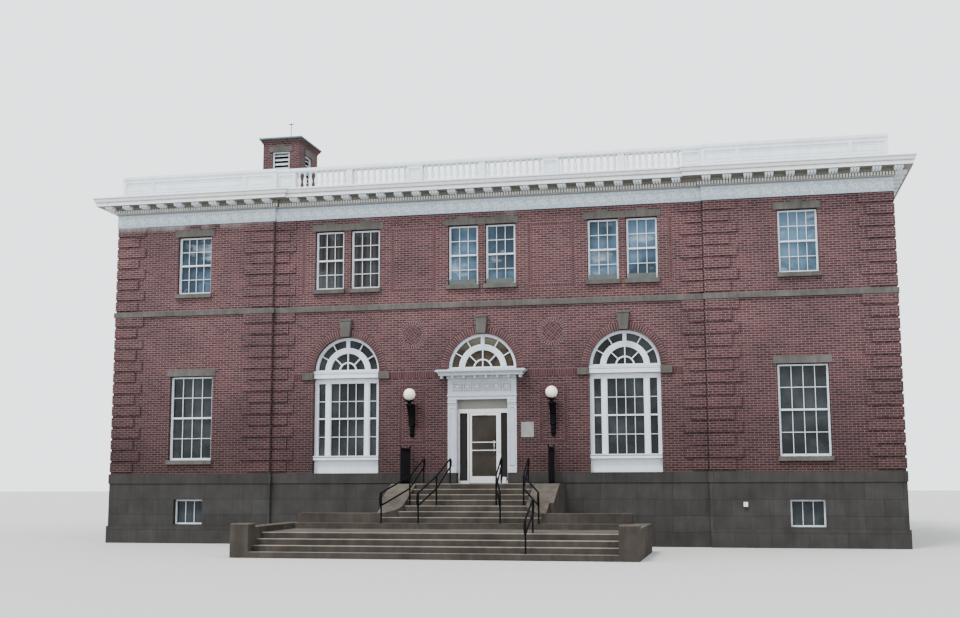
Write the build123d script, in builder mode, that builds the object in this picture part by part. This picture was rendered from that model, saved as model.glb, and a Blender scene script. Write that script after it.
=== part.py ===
from build123d import *
import os
from math import cos, radians, sin

os.makedirs("parts", exist_ok=True)

# A two-storey brick civic building on a raised basement, in millimetres, +Z up.
# The origin is on the underside of the basement floor, in the middle of the plan.
# The street front faces -Y, and z = 0 is the pavement at the foot of the outside stair.

# Plan of the main block, with a wing at each end that steps forward
half_width = 12073
wing_edge = 6701
wing_step = 110
block_depth = 16400
wall_thickness = 400
bay_pitch = 4300
wing_axis = 9394
side_bay = 3500
side_bay_count = 4

# Heights, most of them above the door sill
riser = 152
riser_count = 12
door_sill_z = riser * riser_count
base_course_z = door_sill_z + 19
base_course_height = 301
belt_z = door_sill_z + 5327
belt_height = 162
cornice_z = door_sill_z + 8272
upper_sill_z = door_sill_z + 6023
upper_head_z = door_sill_z + 7893
spring_z = door_sill_z + 3456
lower_sill_z = door_sill_z + 745
lower_head_z = door_sill_z + 3390
floor_thickness = 300
basement_floor_thickness = 150
upper_floor_z = door_sill_z + 5240
roof_thickness = 100
roof_over_crown = 8

# Windows
arch_radius = 1055
pair_gap = 111
pair_outer = 1053
wing_window_half = 571
lower_window_half = 720
basement_window_half = 480
basement_window_top = door_sill_z - 478
basement_window_height = 760
reveal = 110
arch_reveal = 180
frame_depth = 90
stile = 55
meeting_rail = 45
glass_thickness = 24

# Stone dressings and raised brick
base_course_out = 45
basement_out = 20
plinth_out = 60
plinth_height = 529
belt_out = 55
sill_out = 90
sill_height = 130
sill_side = 45
head_out = 22
head_height = 210
head_side = 105
joint_beside_head = 90
key_rise = 70
key_width = 340
arch_key_out = 140
arch_key_half = (130, 185)
arch_key_height = 540
impost_width = 345
impost_height = 205
impost_out = 80
impost_drop = 55
quoin_out = 38
quoin_groove = 65
quoin_lengths = (750, 970)
inner_quoin_lengths = (460, 660)

# Eaves, from the wall face outwards and upwards
frieze_height = 400
frieze_out = 35
dentil_band_out = 100
bed_height = 165
ovolo_out = 160
soffit_height = 85
corona_out = 550
corona_height = 110
crown_height = 267
crown_out = 636
crown_lip = 30
crown_step = 15
band_slope = 40
dentil_pitch = 120
dentil_size = (60, 55)
dentil_rise = 60
dentil_height = 95
modillion_pitch = 565
modillion_size = (250, 300)

# Parapet and balustrade
parapet_height = 800
parapet_thickness = 300
parapet_back = 45
coping_height = 110
coping_out = 40
parapet_plinth = 180
panel_height = 330
panel_sink = 25
end_panel = 900
long_panel = 3100
panel_gap = 110
pedestal_margin = 70
pedestal_axis = 2150
pedestal_half = 250
end_pedestal = 600
pier_half = 100
balusters_in_group = 9

# Entrance
pilaster_inner = 785
pilaster_out = 20
surround_depth = 280
surround_lip = 25
architrave_z = door_sill_z + 2520
architrave_height = 140
hood_z = door_sill_z + 3225
hood_half = 1380
hood_out = 370
hood_block_count = 8
storefront_back = 200
storefront_depth = 100
leaf_x = -438
leaf_width = 916
leaf_height = 2110
leaf_thickness = 45
leaf_gap = 6
leaf_under = 12
leaf_stile = 80
leaf_bottom_rail = 200
bar_heights = (987, 1229)
bar_out = 60
bar_thickness = 24
bar_clearance = 8
pin_radius = 9
sidelight_post = 50
sidelight_rails = (80, 15)
transom_rails = (130, 60)
transom_sink = 15
door_sheet = 6

# Outside stair
tread = 305
landing_depth = 1130
wide_tread = 2370
upper_flight_half = 1750
upper_flight_risers = 7
cheek_width = 750
cheek_radius = 630
lower_flight_half = 4700
low_wall_depth = 450
low_wall_drop = 800
side_wall_drop = 1064
pier_size = 490
pier_height = 860
pier_chamfer = 25
pipe_radius = 21
rail_rise = 850
landing_rail_rise = 740
middle_rail_rise = 480
guard_height = 1050
guard_length = 1050
guard_bar_count = 9

# Lamps
lamp_x = 2170
globe_z = door_sill_z + 2677
globe_radius = 180
lamp_out = 340

# Vent stack on the roof
stack_axis_x = 96 - wing_axis
stack_width = 1460
stack_setback = 7000
stack_depth = 2040
stack_top = door_sill_z + 12865
stack_wall = 230
louvre_width = 670
louvre_height = 1180
louvre_below_top = 312
slat_count = 7
stack_lintel = (930, 215)
stack_key = (220, 85)
stack_lintel_out = 25
corbel_out = 110
corbel_height = 180
cap_out = 130
cap_height = 60
rod_length = 850
rod_arm = 180

# Clearances
fit = 0.3
corner_joint = 3
step_joint = 0.5

# Places that follow from these sizes
front_y = -block_depth / 2
wing_y = front_y - wing_step
back_y = block_depth / 2
front_inner_y = front_y + wall_thickness
back_inner_y = back_y - wall_thickness
side_inner_x = half_width - wall_thickness
wall_z = base_course_z + base_course_height
belt_top = belt_z + belt_height
bed_top = frieze_height + bed_height
soffit = bed_top + soffit_height
eaves_height = soffit + crown_height
roof_z = cornice_z + eaves_height + roof_over_crown - roof_thickness
parapet_z = roof_z + roof_thickness
parapet_top = parapet_z + parapet_height
pair_centre = (pair_gap + pair_outer) / 2
pair_width = pair_outer - pair_gap
over_entrance_half = pair_outer + head_side + joint_beside_head
cut_depth = 2 * wall_thickness
front_axes = (-bay_pitch, 0, bay_pitch)
arched_axes = (-bay_pitch, bay_pitch)
wing_axes = (-wing_axis, wing_axis)
back_axes = (-wing_axis, -bay_pitch, 0, bay_pitch, wing_axis)
side_axes = [(i - (side_bay_count - 1) / 2) * side_bay for i in range(side_bay_count)]

# Each wall's outer face as a plane, seen from outside: u along the wall, v up
front_plane = Plane(origin=(0, front_y, 0), x_dir=(1, 0, 0), z_dir=(0, -1, 0))
wing_plane = front_plane.offset(wing_step)
back_plane = Plane(origin=(0, back_y, 0), x_dir=(-1, 0, 0), z_dir=(0, 1, 0))
left_plane = Plane(origin=(-half_width, 0, 0), x_dir=(0, -1, 0), z_dir=(-1, 0, 0))
right_plane = Plane(origin=(half_width, 0, 0), x_dir=(0, 1, 0), z_dir=(1, 0, 0))
section_plane = Plane(origin=(0, 0, 0), x_dir=(0, 1, 0), z_dir=(1, 0, 0))


def finish(builder, name):
    builder.part.label = name
    export_step(builder.part, "parts/" + name + ".step")


def on_side(side, a, b):
    return tuple(sorted((side * a, side * b)))


def block(x, y, z, mode=Mode.ADD):
    """A straight block between low and high values along each axis."""
    with BuildSketch(Plane.XY.offset(z[0])) as outline:
        with Locations(((x[0] + x[1]) / 2, (y[0] + y[1]) / 2)):
            Rectangle(x[1] - x[0], y[1] - y[0])
    extrude(outline.sketch, amount=z[1] - z[0], mode=mode)


def plates(plane, rectangles, amount, both=False, mode=Mode.ADD):
    """Rectangles (u, v, width, height) on a wall plane, extruded together."""
    with BuildSketch(plane) as outline:
        for u, v, width, height in rectangles:
            with Locations((u, v)):
                Rectangle(width, height)
    extrude(outline.sketch, amount=amount, both=both, mode=mode)


def arch_hole(plane, u, bottom):
    """A round-headed opening through the wall."""
    with BuildSketch(plane) as outline:
        with Locations((u, (bottom + spring_z) / 2)):
            Rectangle(2 * arch_radius, spring_z - bottom)
        with Locations((u, spring_z)):
            Circle(arch_radius)
    extrude(outline.sketch, amount=cut_depth, both=True, mode=Mode.SUBTRACT)


# Openings as rectangles on a wall plane
def between(u, low, high, width):
    return (u, (low + high) / 2, width, high - low)


def upper_opening(u):
    return between(u, upper_sill_z, upper_head_z, 2 * wing_window_half)


def pair_openings(u):
    sides = (u - pair_centre, u + pair_centre)
    return [between(middle, upper_sill_z, upper_head_z, pair_width) for middle in sides]


def lower_opening(u):
    return between(u, lower_sill_z, lower_head_z, 2 * lower_window_half)


def basement_opening(u):
    low = basement_window_top - basement_window_height
    return between(u, low, basement_window_top, 2 * basement_window_half)


plain_walls = (
    (wing_plane, wing_axes),
    (left_plane, side_axes),
    (right_plane, side_axes),
    (back_plane, back_axes),
)
front_pairs = [opening for u in front_axes for opening in pair_openings(u)]
upper_sets = [(front_plane, front_pairs)]
upper_sets += [(plane, [upper_opening(u) for u in axes]) for plane, axes in plain_walls]
lower_sets = [(plane, [lower_opening(u) for u in axes]) for plane, axes in plain_walls]
basement_sets = [(plane, [basement_opening(u) for u in axes]) for plane, axes in plain_walls]


# Brick walls

for side, name in ((-1, "front_wall_left_wing"), (1, "front_wall_right_wing")):
    with BuildPart() as wing_wall:
        block(on_side(side, wing_edge, half_width), (wing_y, front_inner_y), (wall_z, roof_z))
        holes = [upper_opening(side * wing_axis), lower_opening(side * wing_axis)]
        plates(front_plane, holes, cut_depth, both=True, mode=Mode.SUBTRACT)
    finish(wing_wall, name)

for side, name in ((-1, "front_wall_left"), (1, "front_wall_right")):
    with BuildPart() as bay_wall:
        block(on_side(side, arch_radius, wing_edge), (front_y, front_inner_y), (wall_z, spring_z))
        block(on_side(side, over_entrance_half, wing_edge), (front_y, front_inner_y), (spring_z, roof_z))
        arch_hole(front_plane, side * bay_pitch, wall_z)
        plates(front_plane, pair_openings(side * bay_pitch), cut_depth, both=True, mode=Mode.SUBTRACT)
    finish(bay_wall, name)

with BuildPart() as wall_over_entrance:
    block((-over_entrance_half, over_entrance_half), (front_y, front_inner_y), (spring_z, roof_z))
    arch_hole(front_plane, 0, spring_z - arch_radius)
    plates(front_plane, pair_openings(0), cut_depth, both=True, mode=Mode.SUBTRACT)
finish(wall_over_entrance, "wall_over_entrance")

for side, plane, name in ((-1, left_plane, "left_wall"), (1, right_plane, "right_wall")):
    with BuildPart() as side_wall:
        block(on_side(side, side_inner_x, half_width), (front_inner_y, back_inner_y), (wall_z, roof_z))
        holes = [upper_opening(u) for u in side_axes] + [lower_opening(u) for u in side_axes]
        plates(plane, holes, cut_depth, both=True, mode=Mode.SUBTRACT)
    finish(side_wall, name)

with BuildPart() as back_wall:
    block((-half_width, half_width), (back_inner_y, back_y), (wall_z, roof_z))
    holes = [upper_opening(u) for u in back_axes] + [lower_opening(u) for u in back_axes]
    plates(back_plane, holes, cut_depth, both=True, mode=Mode.SUBTRACT)
finish(back_wall, "back_wall")


# Plan outline of the wall faces, pushed out by a distance, from the left front corner round
def plan_points(out):
    return [
        (-half_width - out, wing_y - out),
        (-wing_edge + out, wing_y - out),
        (-wing_edge + out, front_y - out),
        (wing_edge - out, front_y - out),
        (wing_edge - out, wing_y - out),
        (half_width + out, wing_y - out),
        (half_width + out, back_y + out),
        (-half_width - out, back_y + out),
    ]


# Basement walls run down to the pavement, with a plinth course at their foot

with BuildPart() as basement_front_wall:
    reach = half_width + basement_out
    with BuildSketch():
        Polygon(*plan_points(basement_out)[:6], (reach, front_inner_y), (-reach, front_inner_y), align=None)
    extrude(amount=base_course_z)
    for side in (-1, 1):
        x = on_side(side, wing_edge, half_width + plinth_out)
        block(x, (wing_y - plinth_out, wing_y - basement_out), (0, plinth_height))
    holes = [basement_opening(u) for u in wing_axes]
    plates(front_plane, holes, cut_depth, both=True, mode=Mode.SUBTRACT)
    doorway = (-pilaster_inner, pilaster_inner)
    block(doorway, (front_y - basement_out, front_inner_y), (door_sill_z, base_course_z), Mode.SUBTRACT)
finish(basement_front_wall, "basement_front_wall")

with BuildPart() as basement_side_walls:
    side_y = (front_inner_y, back_inner_y)
    for side, plane in ((-1, left_plane), (1, right_plane)):
        block(on_side(side, side_inner_x, half_width + basement_out), side_y, (0, base_course_z))
        block(on_side(side, half_width + basement_out, half_width + plinth_out), side_y, (0, plinth_height))
        holes = [basement_opening(u) for u in side_axes]
        plates(plane, holes, cut_depth, both=True, mode=Mode.SUBTRACT)
finish(basement_side_walls, "basement_side_walls")

with BuildPart() as basement_back_wall:
    reach = half_width + basement_out
    block((-reach, reach), (back_inner_y, back_y + basement_out), (0, base_course_z))
    reach = half_width + plinth_out
    block((-reach, reach), (back_y + basement_out, back_y + plinth_out), (0, plinth_height))
    holes = [basement_opening(u) for u in back_axes]
    plates(back_plane, holes, cut_depth, both=True, mode=Mode.SUBTRACT)
finish(basement_back_wall, "basement_back_wall")

# Stone base course, as deep as the wall, broken by the doorway

with BuildPart() as base_course:
    course_z = (base_course_z, wall_z)
    reach = half_width + base_course_out
    for side in (-1, 1):
        right_half = [(pilaster_inner, front_y - base_course_out)] + plan_points(base_course_out)[3:6]
        right_half += [(reach, front_inner_y), (pilaster_inner, front_inner_y)]
        with BuildSketch(Plane.XY.offset(base_course_z)):
            Polygon(*[(side * x, y) for x, y in right_half], align=None)
        extrude(amount=base_course_height)
        side_y = (front_inner_y + corner_joint, back_inner_y - corner_joint)
        block(on_side(side, side_inner_x, reach), side_y, course_z)
    block((-reach, reach), (back_inner_y, back_y + base_course_out), course_z)
finish(base_course, "base_course")

# Belt course between the storeys, in four lengths that meet near the corners

with BuildPart() as belt_course:
    with BuildSketch(Plane.XY.offset(belt_z)):
        Polygon(*plan_points(belt_out), align=None)
        Polygon(*plan_points(0), align=None, mode=Mode.SUBTRACT)
        corners = [(x, y) for x in (-half_width, half_width) for y in (wing_y + belt_out, back_y - belt_out)]
        with Locations(*corners):
            Rectangle(4 * belt_out, corner_joint, mode=Mode.SUBTRACT)
    extrude(amount=belt_height)
finish(belt_course, "belt_course")

# Floors and roof

for name, top, thickness in (
    ("basement_floor", basement_floor_thickness, basement_floor_thickness),
    ("ground_floor", door_sill_z, floor_thickness),
    ("upper_floor", upper_floor_z, floor_thickness),
):
    with BuildPart() as floor:
        block((-side_inner_x, side_inner_x), (front_inner_y, back_inner_y), (top - thickness, top))
    finish(floor, name)

with BuildPart() as roof_deck:
    with BuildSketch(Plane.XY.offset(roof_z)):
        Polygon(*plan_points(0), align=None)
    extrude(amount=roof_thickness)
finish(roof_deck, "roof_deck")

# Eaves: frieze, bed mould, corona and crown swept round the outline in one profile

profile_plane = Plane(origin=(0, back_y, cornice_z), x_dir=(0, 1, 0), z_dir=(1, 0, 0))
cyma_start = (corona_out + crown_step, soffit + corona_height)
cyma_end = (crown_out, eaves_height - crown_lip)
cyma_middle = ((cyma_start[0] + cyma_end[0]) / 2, (cyma_start[1] + cyma_end[1]) / 2)
with BuildPart() as cornice_ring:
    with BuildLine() as eaves_line:
        outline = plan_points(0)
        loop = [(0, back_y), outline[7]] + outline[:7] + [(0, back_y)]
        Polyline(*[(x, y, cornice_z) for x, y in loop])
    with BuildSketch(profile_plane):
        with BuildLine():
            Polyline(
                (0, eaves_height),
                (0, 0),
                (frieze_out, 0),
                (frieze_out, frieze_height),
                (dentil_band_out, frieze_height + band_slope),
                (dentil_band_out, bed_top),
                (ovolo_out, bed_top),
                (ovolo_out, soffit),
                (corona_out, soffit),
                (corona_out, soffit + corona_height),
                cyma_start,
            )
            RadiusArc(cyma_start, cyma_middle, -90)
            RadiusArc(cyma_middle, cyma_end, 90)
            Polyline(cyma_end, (crown_out, eaves_height), (0, eaves_height))
        make_face()
    sweep(path=eaves_line.wires()[0], transition=Transition.RIGHT)


# Plan of one side's length of the eaves, bounded by 45 degree mitres
def mitre_plan(side_name):
    reach = 2000
    outer = half_width + reach
    inner = half_width - reach
    if side_name in ("front", "back"):
        wall_y, away = (wing_y, -reach) if side_name == "front" else (back_y, reach)
        corners = ((-outer, away), (outer, away), (inner, -away), (-inner, -away))
        return [(x, wall_y + y) for x, y in corners]
    sign = -1 if side_name == "left" else 1
    return [
        (sign * outer, wing_y - reach + corner_joint),
        (sign * outer, back_y + reach - corner_joint),
        (sign * inner, back_y - reach - corner_joint),
        (sign * inner, wing_y + reach + corner_joint),
    ]


for name, sides in (
    ("front_cornice", ("front",)),
    ("back_cornice", ("back",)),
    ("side_cornices", ("left", "right")),
):
    with BuildPart() as eaves:
        add(cornice_ring.part)
        with BuildSketch(Plane.XY.offset(cornice_z - 100)):
            for side_name in sides:
                Polygon(*mitre_plan(side_name), align=None)
        extrude(amount=eaves_height + 200, mode=Mode.INTERSECT)
    finish(eaves, name)


def row_of_blocks(start, end, face, outward, size, pitch, along_y=False):
    """Plan rectangles evenly spaced along a straight stretch of the eaves."""
    count = int((end - start) // pitch)
    step = (end - start) / count
    middle = face + outward * size[1] / 2
    places = [start + step * (i + 0.5) for i in range(count)]
    if along_y:
        return [(middle, along, size[1], size[0]) for along in places]
    return [(along, middle, size[0], size[1]) for along in places]


# Modillions hang under the soffit all round
with BuildPart() as modillions:
    out = ovolo_out + fit
    wing_from = wing_edge - out
    half = (half_width + out + modillion_size[1] + fit, front_y)
    size_pitch = (modillion_size, modillion_pitch)
    rows = row_of_blocks(-half[0], -wing_from, wing_y - out, -1, *size_pitch)
    rows += row_of_blocks(wing_from, half[0], wing_y - out, -1, *size_pitch)
    inner_end = wing_edge - out - modillion_size[1]
    rows += row_of_blocks(-inner_end, inner_end, front_y - out, -1, *size_pitch)
    rows += row_of_blocks(wing_y, back_y, -half_width - out, -1, *size_pitch, along_y=True)
    rows += row_of_blocks(wing_y, back_y, half_width + out, 1, *size_pitch, along_y=True)
    rows += row_of_blocks(-half[0], half[0], back_y + out, 1, *size_pitch)
    plates(Plane.XY.offset(cornice_z + soffit - fit), rows, fit - soffit_height)
finish(modillions, "modillions")

# Dentils of the front stand on the band below them
with BuildPart() as dentils:
    out = dentil_band_out + fit
    size_pitch = (dentil_size, dentil_pitch)
    rows = row_of_blocks(-half_width, -wing_edge, wing_y - out, -1, *size_pitch)
    rows += row_of_blocks(wing_edge, half_width, wing_y - out, -1, *size_pitch)
    inner_end = wing_edge - out - dentil_size[1]
    rows += row_of_blocks(-inner_end, inner_end, front_y - out, -1, *size_pitch)
    plates(Plane.XY.offset(cornice_z + frieze_height + dentil_rise), rows, dentil_height)
finish(dentils, "dentils")


# Parapet: a stepped section with plinth and coping, and sunk panels over the wings

def parapet_section(back):
    """Section of the parapet in (distance from the outer face, height)."""
    face = back + coping_out
    coping_z = parapet_height - coping_height
    return [
        (back, 0),
        (back, parapet_plinth),
        (face, parapet_plinth + 20),
        (face, coping_z),
        (back, coping_z + 25),
        (back, parapet_height),
        (back + parapet_thickness, parapet_height),
        (back + parapet_thickness, 0),
    ]


def parapet_run(plane, start, end):
    """A straight length from start to end along a wall plane."""
    origin = plane.origin + plane.x_dir * start + Vector(0, 0, parapet_z)
    cross = Plane(origin=origin, x_dir=-plane.z_dir, z_dir=plane.x_dir)
    with BuildSketch(cross) as section:
        Polygon(*parapet_section(parapet_back), align=None)
    extrude(section.sketch, amount=end - start, dir=plane.x_dir)


panel_z = parapet_z + (parapet_plinth + parapet_height - coping_height) / 2
with BuildPart() as parapet:
    depth = parapet_back + parapet_thickness
    for side in (-1, 1):
        stretch = on_side(side, wing_edge, half_width - parapet_back)
        parapet_run(wing_plane, *stretch)
        middle = sum(stretch) / 2
        far = (long_panel + end_panel) / 2 + panel_gap
        panels = [(middle, panel_z, long_panel, panel_height)]
        panels += [(middle + offset, panel_z, end_panel, panel_height) for offset in (-far, far)]
        sunk_face = wing_plane.offset(-parapet_back - coping_out)
        plates(sunk_face, panels, -panel_sink, mode=Mode.SUBTRACT)
    end_y = back_y - depth - corner_joint
    parapet_run(left_plane, -end_y, -(wing_y + depth + corner_joint))
    parapet_run(right_plane, wing_y + depth + corner_joint, end_y)
    parapet_run(back_plane, parapet_back - half_width, half_width - parapet_back)
finish(parapet, "parapet")

# Balustrade between the wings: plinth rail, cap rail, pedestals and piers
balustrade_half = wing_edge - corner_joint
pedestals = [(x - pedestal_half, x + pedestal_half) for x in (-pedestal_axis, pedestal_axis)]
end_pedestals = [on_side(side, balustrade_half, wing_edge - end_pedestal) for side in (-1, 1)]
piers = [(x - pier_half, x + pier_half) for x in front_axes]
baluster_y = front_y + parapet_back + coping_out + (parapet_thickness - coping_out) / 2
with BuildPart() as balustrade_rails:
    parapet_run(front_plane, -balustrade_half, balustrade_half)
    uprights = sorted(pedestals + end_pedestals + piers)
    gaps = [(a[1], b[0]) for a, b in zip(uprights, uprights[1:])]
    gap_z = (parapet_z + parapet_plinth, parapet_top - coping_height)
    holes = [between((a + b) / 2, *gap_z, b - a) for a, b in gaps]
    plates(front_plane, holes, -2 * parapet_thickness, mode=Mode.SUBTRACT)
    sunk_face = front_plane.offset(-parapet_back - coping_out)
    faces = pedestals + end_pedestals
    panels = [((a + b) / 2, panel_z, b - a - 2 * pedestal_margin, panel_height) for a, b in faces]
    plates(sunk_face, panels, -panel_sink, mode=Mode.SUBTRACT)
finish(balustrade_rails, "balustrade_rails")

# Balusters: one silhouette of foot, belly and neck, cut square both ways
baluster_height = parapet_height - coping_height - parapet_plinth - 2 * fit
baluster_outline = ((0, 50), (0.16, 32), (0.4, 60), (0.8, 26), (1.0, 48))
foot_z = gap_z[0] + fit
baluster_places = []
for start, end in gaps:
    step = (end - start) / balusters_in_group
    baluster_places += [start + step * (i + 0.5) for i in range(balusters_in_group)]


def silhouette_points(u):
    right = [(u + half, foot_z + part * baluster_height) for part, half in baluster_outline]
    return right + [(2 * u - x, z) for x, z in reversed(right)]


with BuildPart() as balusters:
    across = Plane(origin=(0, baluster_y, 0), x_dir=(1, 0, 0), z_dir=(0, -1, 0))
    with BuildSketch(across):
        for u in baluster_places:
            Polygon(*silhouette_points(u), align=None)
    extrude(amount=parapet_thickness / 2, both=True)
    with BuildSketch(section_plane):
        Polygon(*silhouette_points(baluster_y), align=None)
    extrude(amount=half_width, both=True, mode=Mode.INTERSECT)
finish(balusters, "balusters")


# Window frames fill each opening with two sash lights, set back in the reveal

def sash_frames(plane, openings):
    light_gap = meeting_rail / 2
    with BuildSketch(plane.offset(-reveal)) as frame:
        for u, v, width, height in openings:
            with Locations((u, v)):
                Rectangle(width - 2 * fit, height - 2 * fit)
            light = height / 2 - stile - light_gap
            with Locations((u, v + light / 2 + light_gap), (u, v - light / 2 - light_gap)):
                Rectangle(width - 2 * stile, light, mode=Mode.SUBTRACT)
    extrude(frame.sketch, amount=-frame_depth)


def panes(plane, openings):
    sheets = [(u, v, width - 2 * fit, height - 2 * fit) for u, v, width, height in openings]
    plates(plane.offset(-reveal - frame_depth - fit), sheets, -glass_thickness)


for name, sets, maker in (
    ("upper_window_frames", upper_sets, sash_frames),
    ("lower_window_frames", lower_sets, sash_frames),
    ("basement_windows", basement_sets, panes),
    ("upper_glass", upper_sets, panes),
):
    with BuildPart() as windows:
        for plane, openings in sets:
            maker(plane, openings)
    finish(windows, name)


# Arched windows and the fanlight over the door share one pattern of ribs.
# Radii are parts of the arch's own radius, spokes are (angle, from, to, width).

arch_fit = arch_radius - fit
rim_inner = 0.92
fan_ring = (0.70, 0.535)
fan_hub = (0.277, 0.24)
spoke_width = 28
spoke_lap = 30
crown_spoke_width = 110
fan_spokes = [(angle, fan_ring[0], rim_inner, spoke_width) for angle in (30, 60, 120, 150)]
fan_spokes += [(angle, fan_hub[0], fan_ring[1], spoke_width) for angle in (45, 90, 135)]
fan_spokes += [(90, fan_ring[0], rim_inner, crown_spoke_width), (90, 0, fan_hub[1], spoke_width)]
fan_facets = 40
fan_sill = 50
light_top = door_sill_z + 3085
main_light = 1085
side_light = 228
side_light_offset = 828
transom_moulding = (door_sill_z + 3240, spring_z)
sub_sill = (door_sill_z + 723, door_sill_z + 848)
moulding_set_back = 55


def fan_ribs(u):
    """Half-round fan of ribs on the springing line: rim, middle ring, hub and spokes."""
    with Locations((u, spring_z)):
        Circle(arch_fit)
        RegularPolygon(arch_fit * rim_inner, fan_facets, mode=Mode.SUBTRACT)
        for outer, inner in (fan_ring, fan_hub):
            RegularPolygon(arch_fit * outer, fan_facets)
            RegularPolygon(arch_fit * inner, fan_facets, mode=Mode.SUBTRACT)
    for angle, start, end, width in fan_spokes:
        along = (start + end) / 2 * arch_fit
        with Locations((u + along * cos(radians(angle)), spring_z + along * sin(radians(angle)))):
            Rectangle((end - start) * arch_fit + spoke_lap, width, rotation=angle)
    with Locations((u, spring_z - arch_radius)):
        Rectangle(2 * arch_radius, 2 * arch_radius, mode=Mode.SUBTRACT)
    with Locations((u, spring_z + fan_sill / 2)):
        Rectangle(2 * rim_inner * arch_fit, fan_sill)


with BuildPart() as arched_window_frames:
    frame_low = wall_z + fit
    light = (sub_sill[1], light_top)
    with BuildSketch(front_plane.offset(-arch_reveal)):
        for u in arched_axes:
            fan_ribs(u)
            with Locations((u, (frame_low + spring_z) / 2)):
                Rectangle(2 * arch_fit, spring_z - frame_low)
            lights = [(u, main_light)]
            lights += [(u + side * side_light_offset, side_light) for side in (-1, 1)]
            for middle, width in lights:
                with Locations((middle, sum(light) / 2)):
                    Rectangle(width, light[1] - light[0], mode=Mode.SUBTRACT)
    extrude(amount=-frame_depth)
    raised = [between(u, *transom_moulding, 2 * arch_fit) for u in arched_axes]
    raised += [between(u, *sub_sill, 2 * arch_fit) for u in arched_axes]
    plates(front_plane.offset(-arch_reveal), raised, arch_reveal - moulding_set_back)
finish(arched_window_frames, "arched_window_frames")

with BuildPart() as lower_glass:
    for plane, openings in lower_sets:
        panes(plane, openings)
    with BuildSketch(front_plane.offset(-arch_reveal - frame_depth - fit)):
        for u in arched_axes:
            with Locations((u, (frame_low + spring_z) / 2)):
                Rectangle(2 * arch_fit, spring_z - frame_low)
            with Locations((u, spring_z)):
                Circle(arch_fit)
    extrude(amount=-glass_thickness)
finish(lower_glass, "lower_glass")


# Stone heads with raised keys, sills, and the stones of the arches

with BuildPart() as window_heads:
    pair_keys = (-pair_centre, pair_centre)
    head_sets = [(front_plane, front_axes, pair_outer + head_side, pair_keys)]
    head_sets += [(plane, axes, wing_window_half + head_side, (0,)) for plane, axes in plain_walls]
    for plane, axes, half, keys in head_sets:
        stones = [between(u, upper_head_z, upper_head_z + head_height, 2 * half) for u in axes]
        top = upper_head_z + head_height
        stones += [between(u + key, top - key_rise, top + key_rise, key_width) for u in axes for key in keys]
        plates(plane.offset(fit), stones, head_out)
    for plane, axes in plain_walls:
        half = lower_window_half + head_side
        stones = [between(u, lower_head_z, lower_head_z + head_height, 2 * half) for u in axes]
        plates(plane.offset(fit), stones, head_out)
finish(window_heads, "window_heads")

with BuildPart() as window_sills:
    for plane, openings in upper_sets + lower_sets:
        sills = [(u, v - (h + sill_height) / 2, w + 2 * sill_side, sill_height) for u, v, w, h in openings]
        plates(plane.offset(fit), sills, sill_out)
finish(window_sills, "window_sills")

with BuildPart() as arch_stones:
    low_half, high_half = arch_key_half
    key_low = spring_z + arch_radius
    key_high = key_low + arch_key_height
    with BuildSketch(front_plane.offset(fit)):
        for u in front_axes:
            low_edge = [(u - low_half, key_low), (u + low_half, key_low)]
            high_edge = [(u + high_half, key_high), (u - high_half, key_high)]
            Polygon(*low_edge, *high_edge, align=None)
    extrude(amount=arch_key_out)
    impost_top = spring_z - impost_drop
    middles = [u + side * (arch_radius + impost_width / 2) for u in arched_axes for side in (-1, 1)]
    imposts = [between(u, impost_top - impost_height, impost_top, impost_width) for u in middles]
    plates(front_plane.offset(fit), imposts, impost_out)
finish(arch_stones, "arch_stones")


# Quoins: raised brick blocks, long and short by turns, with a shadow gap under each
quoin_tiers = ((wall_z, belt_z, 14), (belt_top, cornice_z, 8))


def quoin_rows(ends, lengths):
    """Block rectangles from each (end, direction) of a wall."""
    rows = []
    for low, high, count in quoin_tiers:
        step = (high - low) / count
        for i in range(count):
            length = lengths[i % 2]
            bottom = low + step * i + quoin_groove
            top = low + step * (i + 1) - fit
            rows += [between(u + direction * length / 2, bottom, top, length) for u, direction in ends]
    return rows


with BuildPart() as quoins:
    inner_edge = wing_edge - quoin_out - 2 * fit
    outer_ends = ((-half_width, 1), (half_width, -1))
    for plane, ends, lengths in (
        (wing_plane, outer_ends + ((-wing_edge, -1), (wing_edge, 1)), quoin_lengths),
        (front_plane, ((-inner_edge, 1), (inner_edge, -1)), inner_quoin_lengths),
        (left_plane, ((-back_y, 1), (-wing_y - fit, -1)), quoin_lengths),
        (right_plane, ((back_y, -1), (wing_y + fit, 1)), quoin_lengths),
        (back_plane, outer_ends, quoin_lengths),
    ):
        plates(plane.offset(fit), quoin_rows(ends, lengths), quoin_out)
finish(quoins, "quoins")


# Entrance: pilasters and an entablature with a hood fill the brick arch below its springing

surround_front_y = front_y - pilaster_out
surround_back_y = surround_front_y + surround_depth
lip_y = surround_front_y - surround_lip
architrave_top = architrave_z + architrave_height
surround_half = arch_radius - fit
pilaster_cap_height = 110
fillet_height = 45
surround_panel_half = 900
panel_margin = 90
bed_mould_half = surround_half + 15
bed_mould_height = 80
bed_mould_out = 110
hood_block_size = (70, 80)
hood_block_out = 240
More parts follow.
